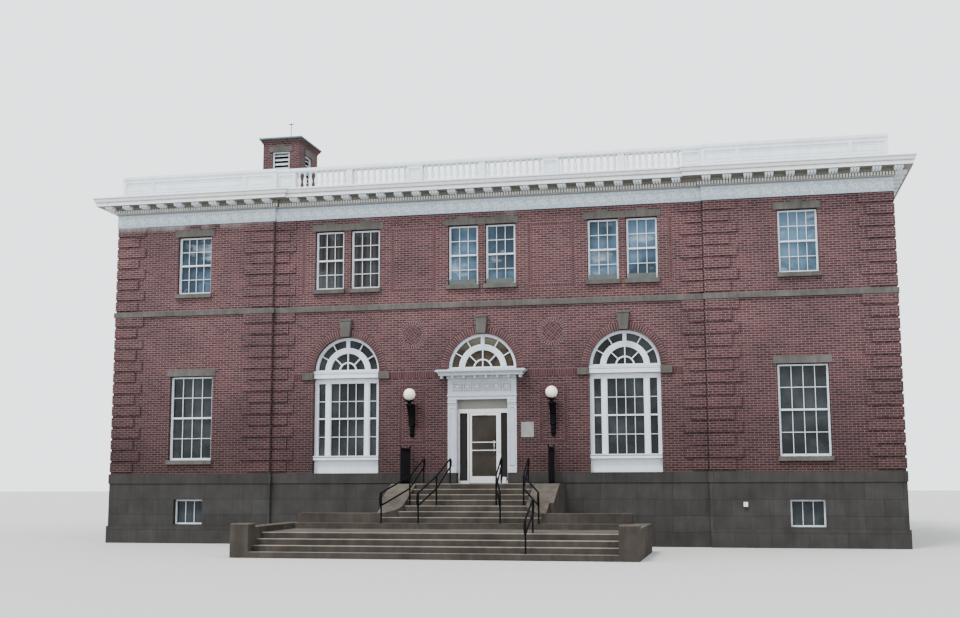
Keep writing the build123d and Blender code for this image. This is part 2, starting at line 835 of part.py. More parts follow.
# Hood moulding as (set in from the lip, height), from its soffit upwards
hood_profile = ((90, 0), (90, 55), (80, 60), (25, 115), (0, 120), (0, 150), (30, 175))
with BuildPart() as door_surround:
    depth = (surround_front_y, surround_back_y)
    for side in (-1, 1):
        x = on_side(side, pilaster_inner, surround_half)
        block(x, depth, (wall_z, architrave_z))
        block(x, (lip_y, surround_front_y), (architrave_z - pilaster_cap_height, architrave_z))
    block((-surround_half, surround_half), depth, (architrave_z, spring_z - fit))
    bed_mould = (-bed_mould_half, bed_mould_half)
    block(bed_mould, (lip_y, front_y - fit), (architrave_top - fillet_height, architrave_top))
    panel = (-surround_panel_half, surround_panel_half)
    frieze = (architrave_top + panel_margin, hood_z - bed_mould_height - panel_margin)
    block(panel, (surround_front_y, surround_front_y + surround_lip), frieze, Mode.SUBTRACT)
    block(bed_mould, (front_y - bed_mould_out, front_y - fit), (hood_z - bed_mould_height, hood_z))
    step = 2 * hood_half / hood_block_count
    width, drop = hood_block_size
    for i in range(hood_block_count):
        middle = -hood_half + step * (i + 0.5)
        block_x = (middle - width / 2, middle + width / 2)
        block(block_x, (front_y - hood_block_out, front_y - fit), (hood_z - drop, hood_z))
finish(door_surround, "door_surround")

# The hood's moulding returns on itself at both ends
with BuildPart() as door_hood:
    ends = [(hood_half - inset, hood_z + height) for inset, height in hood_profile]
    with BuildSketch(front_plane.offset(fit)):
        Polygon(*ends, *[(-x, z) for x, z in reversed(ends)], align=None)
    extrude(amount=hood_out)
    with BuildSketch(section_plane):
        face = [(front_y - hood_out + inset, hood_z + height) for inset, height in hood_profile]
        Polygon(*face, (front_y, face[-1][1]), (front_y, face[0][1]), align=None)
    extrude(amount=2 * hood_half, both=True, mode=Mode.INTERSECT)
    seat = (-surround_half - fit, surround_half + fit)
    block(seat, (surround_front_y - fit, front_y), (hood_z, spring_z), Mode.SUBTRACT)
finish(door_hood, "door_hood")

with BuildPart() as entrance_fanlight:
    with BuildSketch(front_plane.offset(-reveal)):
        fan_ribs(0)
    extrude(amount=-frame_depth)
finish(entrance_fanlight, "entrance_fanlight")

# Storefront: an aluminium frame with sidelights round the door, and a panel above the door
frame_face_y = front_y + storefront_back
frame_plane = front_plane.offset(-storefront_back)
storefront_half = pilaster_inner - fit
leaf_edges = (leaf_x, leaf_x + leaf_width)
leaf_middle = sum(leaf_edges) / 2
leaf_z = door_sill_z + leaf_under
leaf_top = leaf_z + leaf_height
door_head_z = leaf_top + leaf_gap
sidelights = [
    (-storefront_half + sidelight_post, leaf_edges[0] - leaf_gap - sidelight_post),
    (leaf_edges[1] + leaf_gap + sidelight_post, storefront_half - sidelight_post),
]
sidelight_z = (door_sill_z + sidelight_rails[0], door_head_z - sidelight_rails[1])
transom_panel = (door_head_z + transom_rails[0], architrave_z - transom_rails[1])
with BuildPart() as storefront_frame:
    plates(frame_plane, [between(0, door_sill_z + fit, architrave_z - fit, 2 * storefront_half)], -storefront_depth)
    holes = [between(leaf_middle, door_sill_z, door_head_z, leaf_width + 2 * leaf_gap)]
    holes += [between((a + b) / 2, *sidelight_z, b - a) for a, b in sidelights]
    plates(frame_plane, holes, -storefront_depth, mode=Mode.SUBTRACT)
    panel = between(0, *transom_panel, 2 * (storefront_half - transom_rails[1]))
    plates(frame_plane, [panel], -transom_sink, mode=Mode.SUBTRACT)
finish(storefront_frame, "storefront_frame")

with BuildPart() as entrance_glass:
    sheets = [between((a + b) / 2, *sidelight_z, b - a - 2 * fit) for a, b in sidelights]
    sheets = [(u, v, width, height - 2 * fit) for u, v, width, height in sheets]
    plates(frame_plane.offset(-storefront_depth / 2), sheets, -door_sheet)
    with BuildSketch(front_plane.offset(-reveal - frame_depth - fit)):
        with Locations((0, spring_z)):
            Circle(arch_fit)
        with Locations((0, spring_z - arch_radius / 2 + fit)):
            Rectangle(2 * arch_radius, arch_radius, mode=Mode.SUBTRACT)
    extrude(amount=-glass_thickness)
finish(entrance_glass, "entrance_glass")

# Door leaf: aluminium stiles and rails round one sheet of glass, turning on round pins
pivot_x = leaf_x + leaf_thickness / 2
pivot_y = frame_face_y + leaf_thickness / 2
leaf_light_z = (leaf_z + leaf_bottom_rail, leaf_top - leaf_stile)
leaf_light_width = leaf_width - 2 * leaf_stile
with BuildPart() as door_leaf:
    plates(frame_plane, [between(leaf_middle, leaf_z, leaf_top, leaf_width)], -leaf_thickness)
    leaf_light = between(leaf_middle, *leaf_light_z, leaf_light_width)
    plates(frame_plane, [leaf_light], -leaf_thickness, mode=Mode.SUBTRACT)
    hinge_edges = door_leaf.edges().filter_by(Axis.Z).group_by(Axis.X)[0]
    fillet(hinge_edges, radius=leaf_thickness / 2 - 0.1)
    for low, high in ((door_sill_z + fit, leaf_z), (leaf_top, door_head_z - fit)):
        with Locations((pivot_x, pivot_y, (low + high) / 2)):
            Cylinder(pin_radius, high - low)
finish(door_leaf, "door_leaf")

with BuildPart() as door_glass:
    low, high = leaf_light_z
    sheet = between(leaf_middle, low + fit, high - fit, leaf_light_width - 2 * fit)
    plates(frame_plane.offset(-leaf_thickness / 2), [sheet], -door_sheet)
finish(door_glass, "door_glass")

# Two push bars across the leaf and an upright pull at its free edge, on short feet
with BuildPart() as door_bars:
    half_bar = bar_thickness / 2
    ends = (pivot_x + leaf_thickness / 2 + bar_clearance + half_bar, leaf_edges[1] - leaf_stile / 2)
    bar_y = (frame_face_y - bar_out, frame_face_y - bar_out + bar_thickness)
    foot_y = (frame_face_y - bar_out + bar_thickness, frame_face_y - fit)
    for height in bar_heights:
        z = (door_sill_z + height - half_bar, door_sill_z + height + half_bar)
        block((ends[0] - half_bar, ends[1] + half_bar), bar_y, z)
        for x in ends:
            block((x - half_bar, x + half_bar), foot_y, z)
finish(door_bars, "door_bars")


# Outside stair: a landing and two flights, each step a block on the ground beside the next

nosings = [front_y - landing_depth - tread * k for k in range(upper_flight_risers + 1)]
upper_foot_y = nosings[upper_flight_risers - 1]
corner_x = upper_flight_half + cheek_radius
corner_y = upper_foot_y + cheek_radius
landing_back = front_y - basement_out - fit
lower_top_y = nosings[-1] - wide_tread
stair_foot_y = lower_top_y - 3 * tread
low_wall_z = door_sill_z - low_wall_drop
side_wall_z = door_sill_z - side_wall_drop


def step_z(k):
    return door_sill_z - riser * k


with BuildPart() as upper_steps:
    half = upper_flight_half - fit
    block((-half, half), (nosings[0], landing_back), (0, door_sill_z))
    for k in range(1, upper_flight_risers):
        front, back = nosings[k], nosings[k - 1] - step_joint
        straight = nosings[k - 1] > corner_y + tread
        half = upper_flight_half - fit if straight else corner_x - fit
        with BuildSketch() as step:
            with Locations((0, (front + back) / 2)):
                Rectangle(2 * half, back - front)
            if not straight:
                with Locations((-corner_x, corner_y), (corner_x, corner_y)):
                    Circle(cheek_radius + fit, mode=Mode.SUBTRACT)
                outer = 2 * (cheek_radius + fit)
                with Locations((-corner_x, corner_y + cheek_radius), (corner_x, corner_y + cheek_radius)):
                    Rectangle(outer, 2 * cheek_radius, mode=Mode.SUBTRACT)
        extrude(step.sketch, amount=step_z(k))
finish(upper_steps, "upper_steps")

with BuildPart() as lower_steps:
    half = lower_flight_half - fit
    block((-half, half), (nosings[-1] + step_joint, nosings[-2] - step_joint - fit), (0, step_z(7)))
    block((-half, half), (lower_top_y + step_joint, nosings[-1]), (0, step_z(8)))
    for k in range(9, riser_count):
        back = lower_top_y - tread * (k - 9)
        block((-half, half), (back - tread + step_joint, back), (0, step_z(k)))
finish(lower_steps, "lower_steps")

# Cheek walls slope with the upper flight and turn outwards at its foot, to low walls at the sides

with BuildPart() as stair_walls:
    for side in (-1, 1):
        cheek_middle = side * (upper_flight_half + cheek_width / 2)
        with BuildSketch() as cheek:
            with Locations((side * corner_x, corner_y)):
                Circle(cheek_radius)
            with Locations((side * (corner_x + cheek_radius / 2), corner_y)):
                Rectangle(cheek_radius, 3 * cheek_radius, mode=Mode.SUBTRACT)
            with Locations((cheek_middle, (landing_back + corner_y) / 2)):
                Rectangle(cheek_width, landing_back - corner_y)
        extrude(cheek.sketch, amount=door_sill_z)
        wall_y = (upper_foot_y, upper_foot_y + low_wall_depth)
        block(on_side(side, corner_x, lower_flight_half - fit), wall_y, (0, low_wall_z))
        wall_y = (stair_foot_y + pier_size + step_joint, upper_foot_y + low_wall_depth)
        block(on_side(side, lower_flight_half, lower_flight_half + pier_size), wall_y, (0, side_wall_z))
    above = door_sill_z + 10
    clear_y = upper_foot_y - tread
    with BuildSketch(section_plane) as slope:
        Polygon(
            (nosings[0], door_sill_z), (upper_foot_y, low_wall_z), (clear_y, low_wall_z),
            (clear_y, above), (nosings[0], above),
            align=None,
        )
    extrude(slope.sketch, amount=lower_flight_half, both=True, mode=Mode.SUBTRACT)
finish(stair_walls, "stair_walls")

with BuildPart() as end_piers:
    for side in (-1, 1):
        x = on_side(side, lower_flight_half, lower_flight_half + pier_size)
        block(x, (stair_foot_y, stair_foot_y + pier_size), (0, pier_height))
    chamfer(end_piers.edges().group_by(Axis.Z)[-1], length=pier_chamfer)
finish(end_piers, "end_piers")

# Pipe handrails: posts on the landing, the flight and its foot, with two rails between them

def handrail(posts):
    """Posts as (x, y, foot, rise), joined by a top rail and a middle rail."""
    for x, y, foot, rise in posts:
        with BuildSketch(Plane(origin=(x, y, foot + fit))) as section:
            RegularPolygon(pipe_radius, 6)
        extrude(section.sketch, amount=rise)
    top_run = [(x, y, foot + rise - pipe_radius) for x, y, foot, rise in posts]
    middle_run = [(x, y, foot + middle_rail_rise) for x, y, foot, rise in posts]
    for points in (top_run, middle_run):
        with BuildLine(mode=Mode.PRIVATE) as run:
            Polyline(*points)
        with BuildSketch(Plane(origin=run.line @ 0, z_dir=run.line % 0)) as section:
            RegularPolygon(pipe_radius, 6)
        sweep(section.sketch, path=run.wires()[0], transition=Transition.RIGHT)


on_tread = tread / 2
landing_post_back = 180
lower_post_back = 500
rail_places = [
    (nosings[0] + landing_post_back, step_z(0), landing_rail_rise),
    (nosings[4] + on_tread, step_z(4), rail_rise),
    (nosings[7] + on_tread, step_z(7), rail_rise),
]
rail_runs = ((760, 860, 1150), (1560, 1640, 2210))
with BuildPart() as handrails:
    for side in (-1, 1):
        for run_x in rail_runs:
            handrail([(side * x, *place) for x, place in zip(run_x, rail_places)])
    top_post = (2390, lower_top_y + lower_post_back, step_z(8), rail_rise)
    foot_post = (2420, lower_top_y - 2.5 * tread, step_z(11), rail_rise)
    handrail([top_post, foot_post])
finish(handrails, "handrails")

# Iron guards on the cheek walls, outside the landing

guard_x = 2200
guard_thickness = 24
guard_frame = 40
guard_bar = 20
guard_rails = (80, 80)
guard_from_wall = 60
with BuildPart() as iron_guards:
    gap = (guard_length - 2 * guard_frame) / guard_bar_count
    for side in (-1, 1):
        corner = (side * guard_x, landing_back - guard_from_wall, door_sill_z + fit)
        face = Plane(origin=corner, x_dir=(0, -1, 0), z_dir=(-1, 0, 0))
        plates(face, [(guard_length / 2, guard_height / 2, guard_length, guard_height)], guard_thickness)
        low, high = guard_rails[0], guard_height - guard_rails[1]
        middles = [guard_frame + gap * (i + 0.5) for i in range(guard_bar_count)]
        holes = [between(u, low, high, gap - guard_bar) for u in middles]
        plates(face, holes, guard_thickness, mode=Mode.SUBTRACT)
finish(iron_guards, "iron_guards")

# Globe lamps on tapered cast brackets beside the entrance

bracket_drop = 1290
cup_height = 130
cup_radius = 75
cup_taper = 30
shelf_thickness = 40
shelf_half = 110
shelf_z = globe_z - globe_radius - cup_height - 20
lamp_y = front_y - lamp_out
tail_z = globe_z - bracket_drop
# Half widths and outward reaches of the casting, from its tail up to the shelf
bracket_widths = ((35, tail_z), (65, tail_z + 90), (65, shelf_z - 480), (100, shelf_z - 400), (100, shelf_z))
bracket_reach = ((30, tail_z), (60, tail_z + 90), (110, shelf_z - 400), (lamp_out + 90, shelf_z))
with BuildPart() as lamp_brackets:
    with BuildSketch(front_plane):
        for x in (-lamp_x, lamp_x):
            right = [(x + half, z) for half, z in bracket_widths]
            Polygon(*right, *[(2 * x - u, z) for u, z in reversed(right)], align=None)
    extrude(amount=2 * lamp_out)
    with BuildSketch(section_plane):
        face = [(front_y - reach, z) for reach, z in bracket_reach]
        Polygon((front_y - fit, tail_z), *face, (front_y - fit, shelf_z), align=None)
    extrude(amount=2 * lamp_x, both=True, mode=Mode.INTERSECT)
    for x in (-lamp_x, lamp_x):
        shelf_x = (x - shelf_half, x + shelf_half)
        block(shelf_x, (lamp_y - shelf_half, front_y - fit), (shelf_z, shelf_z + shelf_thickness))
        with BuildSketch(Plane.XY.offset(shelf_z + shelf_thickness)) as cup:
            with Locations((x, lamp_y)):
                RegularPolygon(cup_radius, 8)
        extrude(cup.sketch, amount=cup_height - shelf_thickness + 20, taper=-cup_taper)
finish(lamp_brackets, "lamp_brackets")

# Each globe has flat facets, from three eight-sided outlines crossed at its middle
with BuildPart() as lamp_globes:
    for axis_plane in (Plane.XY, Plane.XZ, Plane.YZ):
        facing = Plane(origin=(lamp_x, lamp_y, globe_z), x_dir=axis_plane.x_dir, z_dir=axis_plane.z_dir)
        with BuildSketch(facing):
            RegularPolygon(globe_radius, 8, major_radius=False)
        crossing = Mode.ADD if axis_plane == Plane.XY else Mode.INTERSECT
        extrude(amount=globe_radius, both=True, mode=crossing)
    mirror(about=Plane.YZ)
finish(lamp_globes, "lamp_globes")


# Brick vent stack on the roof over the left wing, open to a louvre in front

stack_x = (stack_axis_x - stack_width / 2, stack_axis_x + stack_width / 2)
stack_y = (front_y + stack_setback, front_y + stack_setback + stack_depth)
stack_middle_y = sum(stack_y) / 2
stack_front = Plane(origin=(stack_axis_x, stack_y[0], 0), x_dir=(1, 0, 0), z_dir=(0, -1, 0))
stack_right = Plane(origin=(stack_x[1], stack_middle_y, 0), x_dir=(0, 1, 0), z_dir=(1, 0, 0))
louvre_faces = (stack_front, stack_right)
louvre_top = stack_top - louvre_below_top
louvre_bottom = louvre_top - louvre_height
louvre_opening = between(0, louvre_bottom, louvre_top, louvre_width)
with BuildPart() as vent_stack:
    block(stack_x, stack_y, (parapet_z, stack_top))
    inside_x = (stack_x[0] + stack_wall, stack_x[1] - stack_wall)
    inside_y = (stack_y[0] + stack_wall, stack_y[1] - stack_wall)
    block(inside_x, inside_y, (parapet_z, stack_top), Mode.SUBTRACT)
    for face in louvre_faces:
        plates(face, [louvre_opening], -stack_wall, mode=Mode.SUBTRACT)
finish(vent_stack, "vent_stack")

# Each louvre is a frame near the face with sloping slats behind it
louvre_frame = 45
louvre_frame_back = (40, 100)
slat_back = (105, 205)
slat_lift = 10
slat_rise = 90
slat_thickness = 24
with BuildPart() as stack_louvres:
    slat_pitch = louvre_height / slat_count
    near, far = slat_back
    for face in louvre_faces:
        u, v, width, height = louvre_opening
        frame_face = face.offset(-louvre_frame_back[0])
        deep = louvre_frame_back[1] - louvre_frame_back[0]
        plates(frame_face, [(u, v, width - 2 * fit, height - 2 * fit)], -deep)
        light = (u, v, width - 2 * louvre_frame, height - 2 * louvre_frame)
        plates(frame_face, [light], -deep, mode=Mode.SUBTRACT)
        start = face.origin - face.x_dir * (louvre_width / 2 - fit)
        with BuildSketch(Plane(origin=start, x_dir=-face.z_dir, z_dir=face.x_dir)) as slats:
            for i in range(slat_count):
                low = louvre_bottom + slat_pitch * i + slat_lift
                high = low + slat_rise
                lower_face = [(near, low), (near, low + slat_thickness)]
                upper_face = [(far, high + slat_thickness), (far, high)]
                Polygon(*lower_face, *upper_face, align=None)
        extrude(slats.sketch, amount=louvre_width - 2 * fit)
finish(stack_louvres, "stack_louvres")

with BuildPart() as stack_lintels:
    width, height = stack_lintel
    key, key_over = stack_key
    top = louvre_top + height
    lintel = [between(0, louvre_top, top, width), between(0, top - key_over, top + key_over, key)]
    for face in louvre_faces:
        plates(face.offset(fit), lintel, stack_lintel_out)
finish(stack_lintels, "stack_lintels")


# Outline across the stack's head: straight at its foot and flared at the top
def flared(middle, half, low, high, out):
    top_half = half + out
    return [(middle - half, low), (middle + half, low), (middle + top_half, high), (middle - top_half, high)]


corbel_top = stack_top + corbel_height
with BuildPart() as stack_corbel:
    with BuildSketch(front_plane):
        Polygon(*flared(stack_axis_x, stack_width / 2, stack_top, corbel_top, corbel_out), align=None)
    extrude(amount=block_depth, both=True)
    with BuildSketch(section_plane):
        Polygon(*flared(stack_middle_y, stack_depth / 2, stack_top, corbel_top, corbel_out), align=None)
    extrude(amount=half_width, both=True, mode=Mode.INTERSECT)
finish(stack_corbel, "stack_corbel")

with BuildPart() as stack_cap:
    cap_x = (stack_x[0] - cap_out, stack_x[1] + cap_out)
    cap_y = (stack_y[0] - cap_out, stack_y[1] + cap_out)
    block(cap_x, cap_y, (corbel_top, corbel_top + cap_height))
finish(stack_cap, "stack_cap")

# A rod with a short cross arm stands on the cap
rod_radius = 14
with BuildPart() as roof_rod:
    with BuildSketch(Plane.XY.offset(corbel_top + cap_height)):
        with Locations((stack_axis_x, stack_middle_y)):
            RegularPolygon(rod_radius, 6)
    extrude(amount=rod_length)
    arm_z = corbel_top + cap_height + rod_length
    arm_x = (stack_axis_x - rod_arm / 2, stack_axis_x + rod_arm / 2)
    arm_y = (stack_middle_y - rod_radius, stack_middle_y + rod_radius)
    block(arm_x, arm_y, (arm_z - 3 * rod_radius, arm_z - rod_radius))
finish(roof_rod, "roof_rod")

# Low planting boxes on the sills of the middle and right pairs

with BuildPart() as window_boxes:
    box_inset = 60
    box_height = 150
    box_from_edge = 5
    box_from_wall = 10
    box_y = (front_y - sill_out + box_from_edge, front_y - box_from_wall)
    for u in front_axes[1:]:
        for middle, _, width, _ in pair_openings(u):
            x = (middle - width / 2 + box_inset, middle + width / 2 - box_inset)
            block(x, box_y, (upper_sill_z + fit, upper_sill_z + box_height))
finish(window_boxes, "window_boxes")
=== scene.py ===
import math
import random

import bmesh
import bpy
from mathutils import Matrix, Vector


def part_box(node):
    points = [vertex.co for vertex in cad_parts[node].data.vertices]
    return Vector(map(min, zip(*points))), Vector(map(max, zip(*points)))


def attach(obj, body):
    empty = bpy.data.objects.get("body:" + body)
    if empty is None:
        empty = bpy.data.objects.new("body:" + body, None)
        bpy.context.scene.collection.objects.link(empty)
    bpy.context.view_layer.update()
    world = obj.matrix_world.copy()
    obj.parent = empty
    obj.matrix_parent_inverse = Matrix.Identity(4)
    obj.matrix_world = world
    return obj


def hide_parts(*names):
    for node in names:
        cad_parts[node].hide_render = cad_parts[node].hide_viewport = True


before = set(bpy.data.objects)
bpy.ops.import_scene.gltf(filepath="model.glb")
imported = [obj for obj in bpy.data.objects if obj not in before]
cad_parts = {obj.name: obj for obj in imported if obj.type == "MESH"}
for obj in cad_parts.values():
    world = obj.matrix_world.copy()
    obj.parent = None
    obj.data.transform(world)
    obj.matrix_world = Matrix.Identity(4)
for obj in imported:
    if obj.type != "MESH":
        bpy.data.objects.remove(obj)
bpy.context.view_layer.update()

random.seed(7)
print("scene: frame loaded,", len(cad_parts), "nodes")

# Places read from the frame, in metres
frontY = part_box("front_wall_left")[0].y
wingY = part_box("front_wall_left_wing")[0].y
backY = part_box("back_wall")[1].y
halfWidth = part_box("back_wall")[1].x
wingEdge = -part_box("front_wall_left")[0].x
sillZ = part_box("ground_floor")[1].z
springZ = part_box("entrance_fanlight")[0].z
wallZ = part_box("base_course")[1].z
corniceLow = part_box("front_cornice")[0].z
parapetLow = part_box("parapet")[0].z
fit = 0.0003  # clearance of a solid at its seat
skin = 0.0005  # start of an applied piece, off its wall
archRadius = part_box("entrance_fanlight")[1].x + fit

# Window axes as in the plan
bays = {"pitch": 4.3, "wing": 9.394, "side": 3.5, "sideWindows": 4}
archAxes = (-bays["pitch"], bays["pitch"])
frontAxes = (-bays["pitch"], 0, bays["pitch"])
wingAxes = (-bays["wing"], bays["wing"])
backAxes = wingAxes + frontAxes
sideAxes = [(i - (bays["sideWindows"] - 1) / 2) * bays["side"] for i in range(bays["sideWindows"])]

# A wall is an origin on its face and the way u runs along it, a quarter turn from the way out
walls = {
    "front": (Vector((0, frontY, 0)), Vector((1, 0, 0))),
    "wing": (Vector((0, wingY, 0)), Vector((1, 0, 0))),
    "left": (Vector((-halfWidth, 0, 0)), Vector((0, -1, 0))),
    "right": (Vector((halfWidth, 0, 0)), Vector((0, 1, 0))),
    "back": (Vector((0, backY, 0)), Vector((-1, 0, 0))),
}
plainWalls = (("wing", wingAxes), ("left", sideAxes), ("right", sideAxes), ("back", backAxes))


def onWall(wall, u, out, z):
    origin, along = walls[wall]
    return origin + along * u + Vector((along.y * out, -along.x * out, z))


def around(middle, half):
    return middle - half, middle + half


def span(base, ends):
    return base + ends[0], base + ends[1]


# Mesh helpers

def addBox(bm, low, high):
    low, high = Vector(low), Vector(high)
    place = Matrix.Translation((low + high) / 2) @ Matrix.Diagonal((*[abs(s) for s in high - low], 1))
    return bmesh.ops.create_cube(bm, size=1, matrix=place)["verts"]


def wallBox(bm, wall, u, out, z):
    return addBox(bm, onWall(wall, u[0], out[0], z[0]), onWall(wall, u[1], out[1], z[1]))


def wallFrame(bm, wall, u, out, z, width):
    # Four bars round a rectangle on a wall
    inside = (u[0] + width, u[1] - width)
    wallBox(bm, wall, (u[0], inside[0]), out, z)
    wallBox(bm, wall, (inside[1], u[1]), out, z)
    wallBox(bm, wall, inside, out, (z[0], z[0] + width))
    wallBox(bm, wall, inside, out, (z[1] - width, z[1]))


def extrudeOutline(bm, points, offset):
    face = bm.faces.new([bm.verts.new(p) for p in points])
    made = bmesh.ops.extrude_face_region(bm, geom=[face])["geom"]
    moved = [g for g in made if isinstance(g, bmesh.types.BMVert)]
    bmesh.ops.translate(bm, verts=moved, vec=offset)


def halfRing(bm, centre, radii, out, tall, steps, start=0.0, foot=-math.inf):
    # Half a ring on the front wall, cut level at its foot where asked
    angles = [start + math.pi * i / steps for i in range(steps + 1)]
    ends = [(radii[1], a) for a in angles] + [(radii[0], a) for a in reversed(angles)]
    points = [
        onWall("front", centre[0] + r * math.cos(a), out, centre[1] + max(foot, r * math.sin(a)))
        for r, a in ends
    ]
    extrudeOutline(bm, points, Vector((0, -tall, 0)))


def spinProfile(bm, profile, centre, steps):
    verts = [bm.verts.new(Vector(centre) + Vector((r, 0, z))) for r, z in profile]
    edges = [bm.edges.new(pair) for pair in zip(verts, verts[1:])]
    bmesh.ops.spin(
        bm, geom=verts + edges, cent=centre, axis=(0, 0, 1), angle=math.tau, steps=steps, use_merge=True
    )


def roundEdges(bm, edges, offset):
    bmesh.ops.bevel(bm, geom=edges, offset=offset, affect="EDGES", segments=2, profile=0.5, material=-1)


def finishPiece(name, bm, look, body="building", replaced=(), smooth=False):
    bmesh.ops.remove_doubles(bm, verts=bm.verts, dist=0.00001)
    bmesh.ops.recalc_face_normals(bm, faces=bm.faces)
    mesh = bpy.data.meshes.new(name)
    bm.to_mesh(mesh)
    bm.free()
    piece = bpy.data.objects.new(name, mesh)
    bpy.context.scene.collection.objects.link(piece)
    mesh.materials.append(looks[look])
    if smooth:
        mesh.polygons.foreach_set("use_smooth", [True] * len(mesh.polygons))
        mesh.set_sharp_from_angle(angle=math.radians(40))
    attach(piece, body)
    if replaced:
        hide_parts(*replaced)


def pipeMesh(name, runs, radius):
    # Round pipes through runs of points, smooth or straight between them
    curve = bpy.data.curves.new(name, "CURVE")
    curve.dimensions = "3D"
    curve.bevel_depth = radius
    curve.bevel_resolution = 3
    curve.resolution_u = 6
    curve.use_fill_caps = True
    for points, smoothRun in runs:
        spline = curve.splines.new("BEZIER")
        spline.bezier_points.add(len(points) - 1)
        for knot, point in zip(spline.bezier_points, points):
            knot.co = point
            knot.handle_left_type = knot.handle_right_type = "AUTO" if smoothRun else "VECTOR"
    carrier = bpy.data.objects.new(name, curve)
    mesh = bpy.data.meshes.new_from_object(carrier)
    bpy.data.objects.remove(carrier)
    bm = bmesh.new()
    bm.from_mesh(mesh)
    bpy.data.meshes.remove(mesh)
    return bm


# Material helpers

def startMaterial(name):
    material = bpy.data.materials.new(name)
    material.use_nodes = True
    coords = material.node_tree.nodes.new("ShaderNodeTexCoord")
    return material, coords.outputs["Object"]


def shaderOf(material):
    return material.node_tree.nodes["Principled BSDF"]


def isOutput(value):
    return isinstance(value, bpy.types.NodeSocket)


def plug(node, inputs):
    # Links each output that is given, and sets each value
    for key, value in inputs.items():
        if isOutput(value):
            node.id_data.links.new(value, node.inputs[key])
        else:
            node.inputs[key].default_value = value


def addNode(kind, inputs, **settings):
    # A node stands in the tree of the outputs that lead to it
    tree = next(value.id_data for value in inputs.values() if isOutput(value))
    node = tree.nodes.new(kind)
    for key, value in settings.items():
        setattr(node, key, value)
    plug(node, inputs)
    return node


def noiseAt(vector, scale, detail=4):
    inputs = {"Vector": vector, "Scale": scale, "Detail": detail, "Roughness": 0.55}
    return addNode("ShaderNodeTexNoise", inputs).outputs["Fac"]


def mappedBy(vector, **change):
    return addNode("ShaderNodeMapping", {"Vector": vector, **change}).outputs["Vector"]


def stretchedNoise(vector, stretch, scale=1.0, detail=5):
    return noiseAt(mappedBy(vector, Scale=stretch), scale, detail)


def rampOf(factor, ends, start, end):
    # Runs from one colour to another between two values of the factor
    node = addNode("ShaderNodeValToRGB", {"Fac": factor})
    for element, position, color in zip(node.color_ramp.elements, ends, (start, end)):
        element.position = position
        element.color = (*color, 1)
    return node.outputs["Color"]


def mixColors(factor, a, b, blend="MIX"):
    a, b = [c if isOutput(c) else (*c, 1) for c in (a, b)]
    inputs = {0: factor, 6: a, 7: b}
    return addNode("ShaderNodeMix", inputs, data_type="RGBA", blend_type=blend).outputs[2]


def timesColor(a, b):
    return mixColors(1.0, a, b, "MULTIPLY")


def shaded(color, pattern, shade):
    # A shade is two values of the pattern, and the greys that multiply the colour there
    greys = [(grey,) * 3 for grey in shade[2:]]
    return timesColor(color, rampOf(pattern, shade[:2], *greys))


def speckled(color, vector, scale, shade):
    return shaded(color, noiseAt(vector, scale, detail=3), shade)


def rainRuns(color, vector, stretch, shade):
    return shaded(color, stretchedNoise(vector, stretch), shade)


def clouded(vector, scale, detail, dark, light, ends=(0.3, 0.7)):
    return rampOf(noiseAt(vector, scale, detail), ends, dark, light)


def tint(color, share):
    return tuple(min(1, c * share) for c in color)


def mathOf(operation, a, b=0.0):
    return addNode("ShaderNodeMath", {0: a, 1: b}, operation=operation).outputs[0]


def times(a, b):
    return mathOf("MULTIPLY", a, b)


def apart(a, b):
    return mathOf("ABSOLUTE", mathOf("SUBTRACT", a, b))


def bandOf(value, ends, start=0.0, end=1.0):
    # Runs from start to end between two values
    inputs = {"Value": value, "From Min": ends[0], "From Max": ends[1], "To Min": start, "To Max": end}
    return addNode("ShaderNodeMapRange", inputs).outputs["Result"]


def heightOf(vector):
    return addNode("ShaderNodeSeparateXYZ", {"Vector": vector}).outputs["Z"]


def facingUp(vector):
    geometry = vector.id_data.nodes.new("ShaderNodeNewGeometry")
    return heightOf(geometry.outputs["Normal"])


def wallCoords(vector):
    # Along a wall the sum of x and y runs evenly, and z is the height
    parts = addNode("ShaderNodeSeparateXYZ", {"Vector": vector}).outputs
    return mathOf("ADD", parts["X"], parts["Y"]), parts["Z"]


def flatOf(along, height):
    return addNode("ShaderNodeCombineXYZ", {"X": along, "Y": height}).outputs["Vector"]


def bondOf(flat, size, colors, smooth, bias=0.0):
    # Running bond by length, course and joint, with its mortar last among the colours
    length, course, joint = size
    inputs = {
        "Vector": flat, "Scale": 1.0, "Brick Width": length, "Row Height": course, "Bias": bias,
        "Mortar Size": joint / 2, "Mortar Smooth": smooth,
    }
    inputs.update(zip(("Color1", "Color2", "Mortar"), [(*color, 1) for color in colors]))
    return addNode("ShaderNodeTexBrick", inputs).outputs


def coat(material, color, roughness, gloss, relief, strength, depth):
    inputs = {"Height": relief, "Strength": strength, "Distance": depth}
    bump = addNode("ShaderNodeBump", inputs).outputs["Normal"]
    inputs = {"Base Color": color, "Roughness": roughness, "Specular IOR Level": gloss, "Normal": bump}
    plug(shaderOf(material), inputs)
    return material


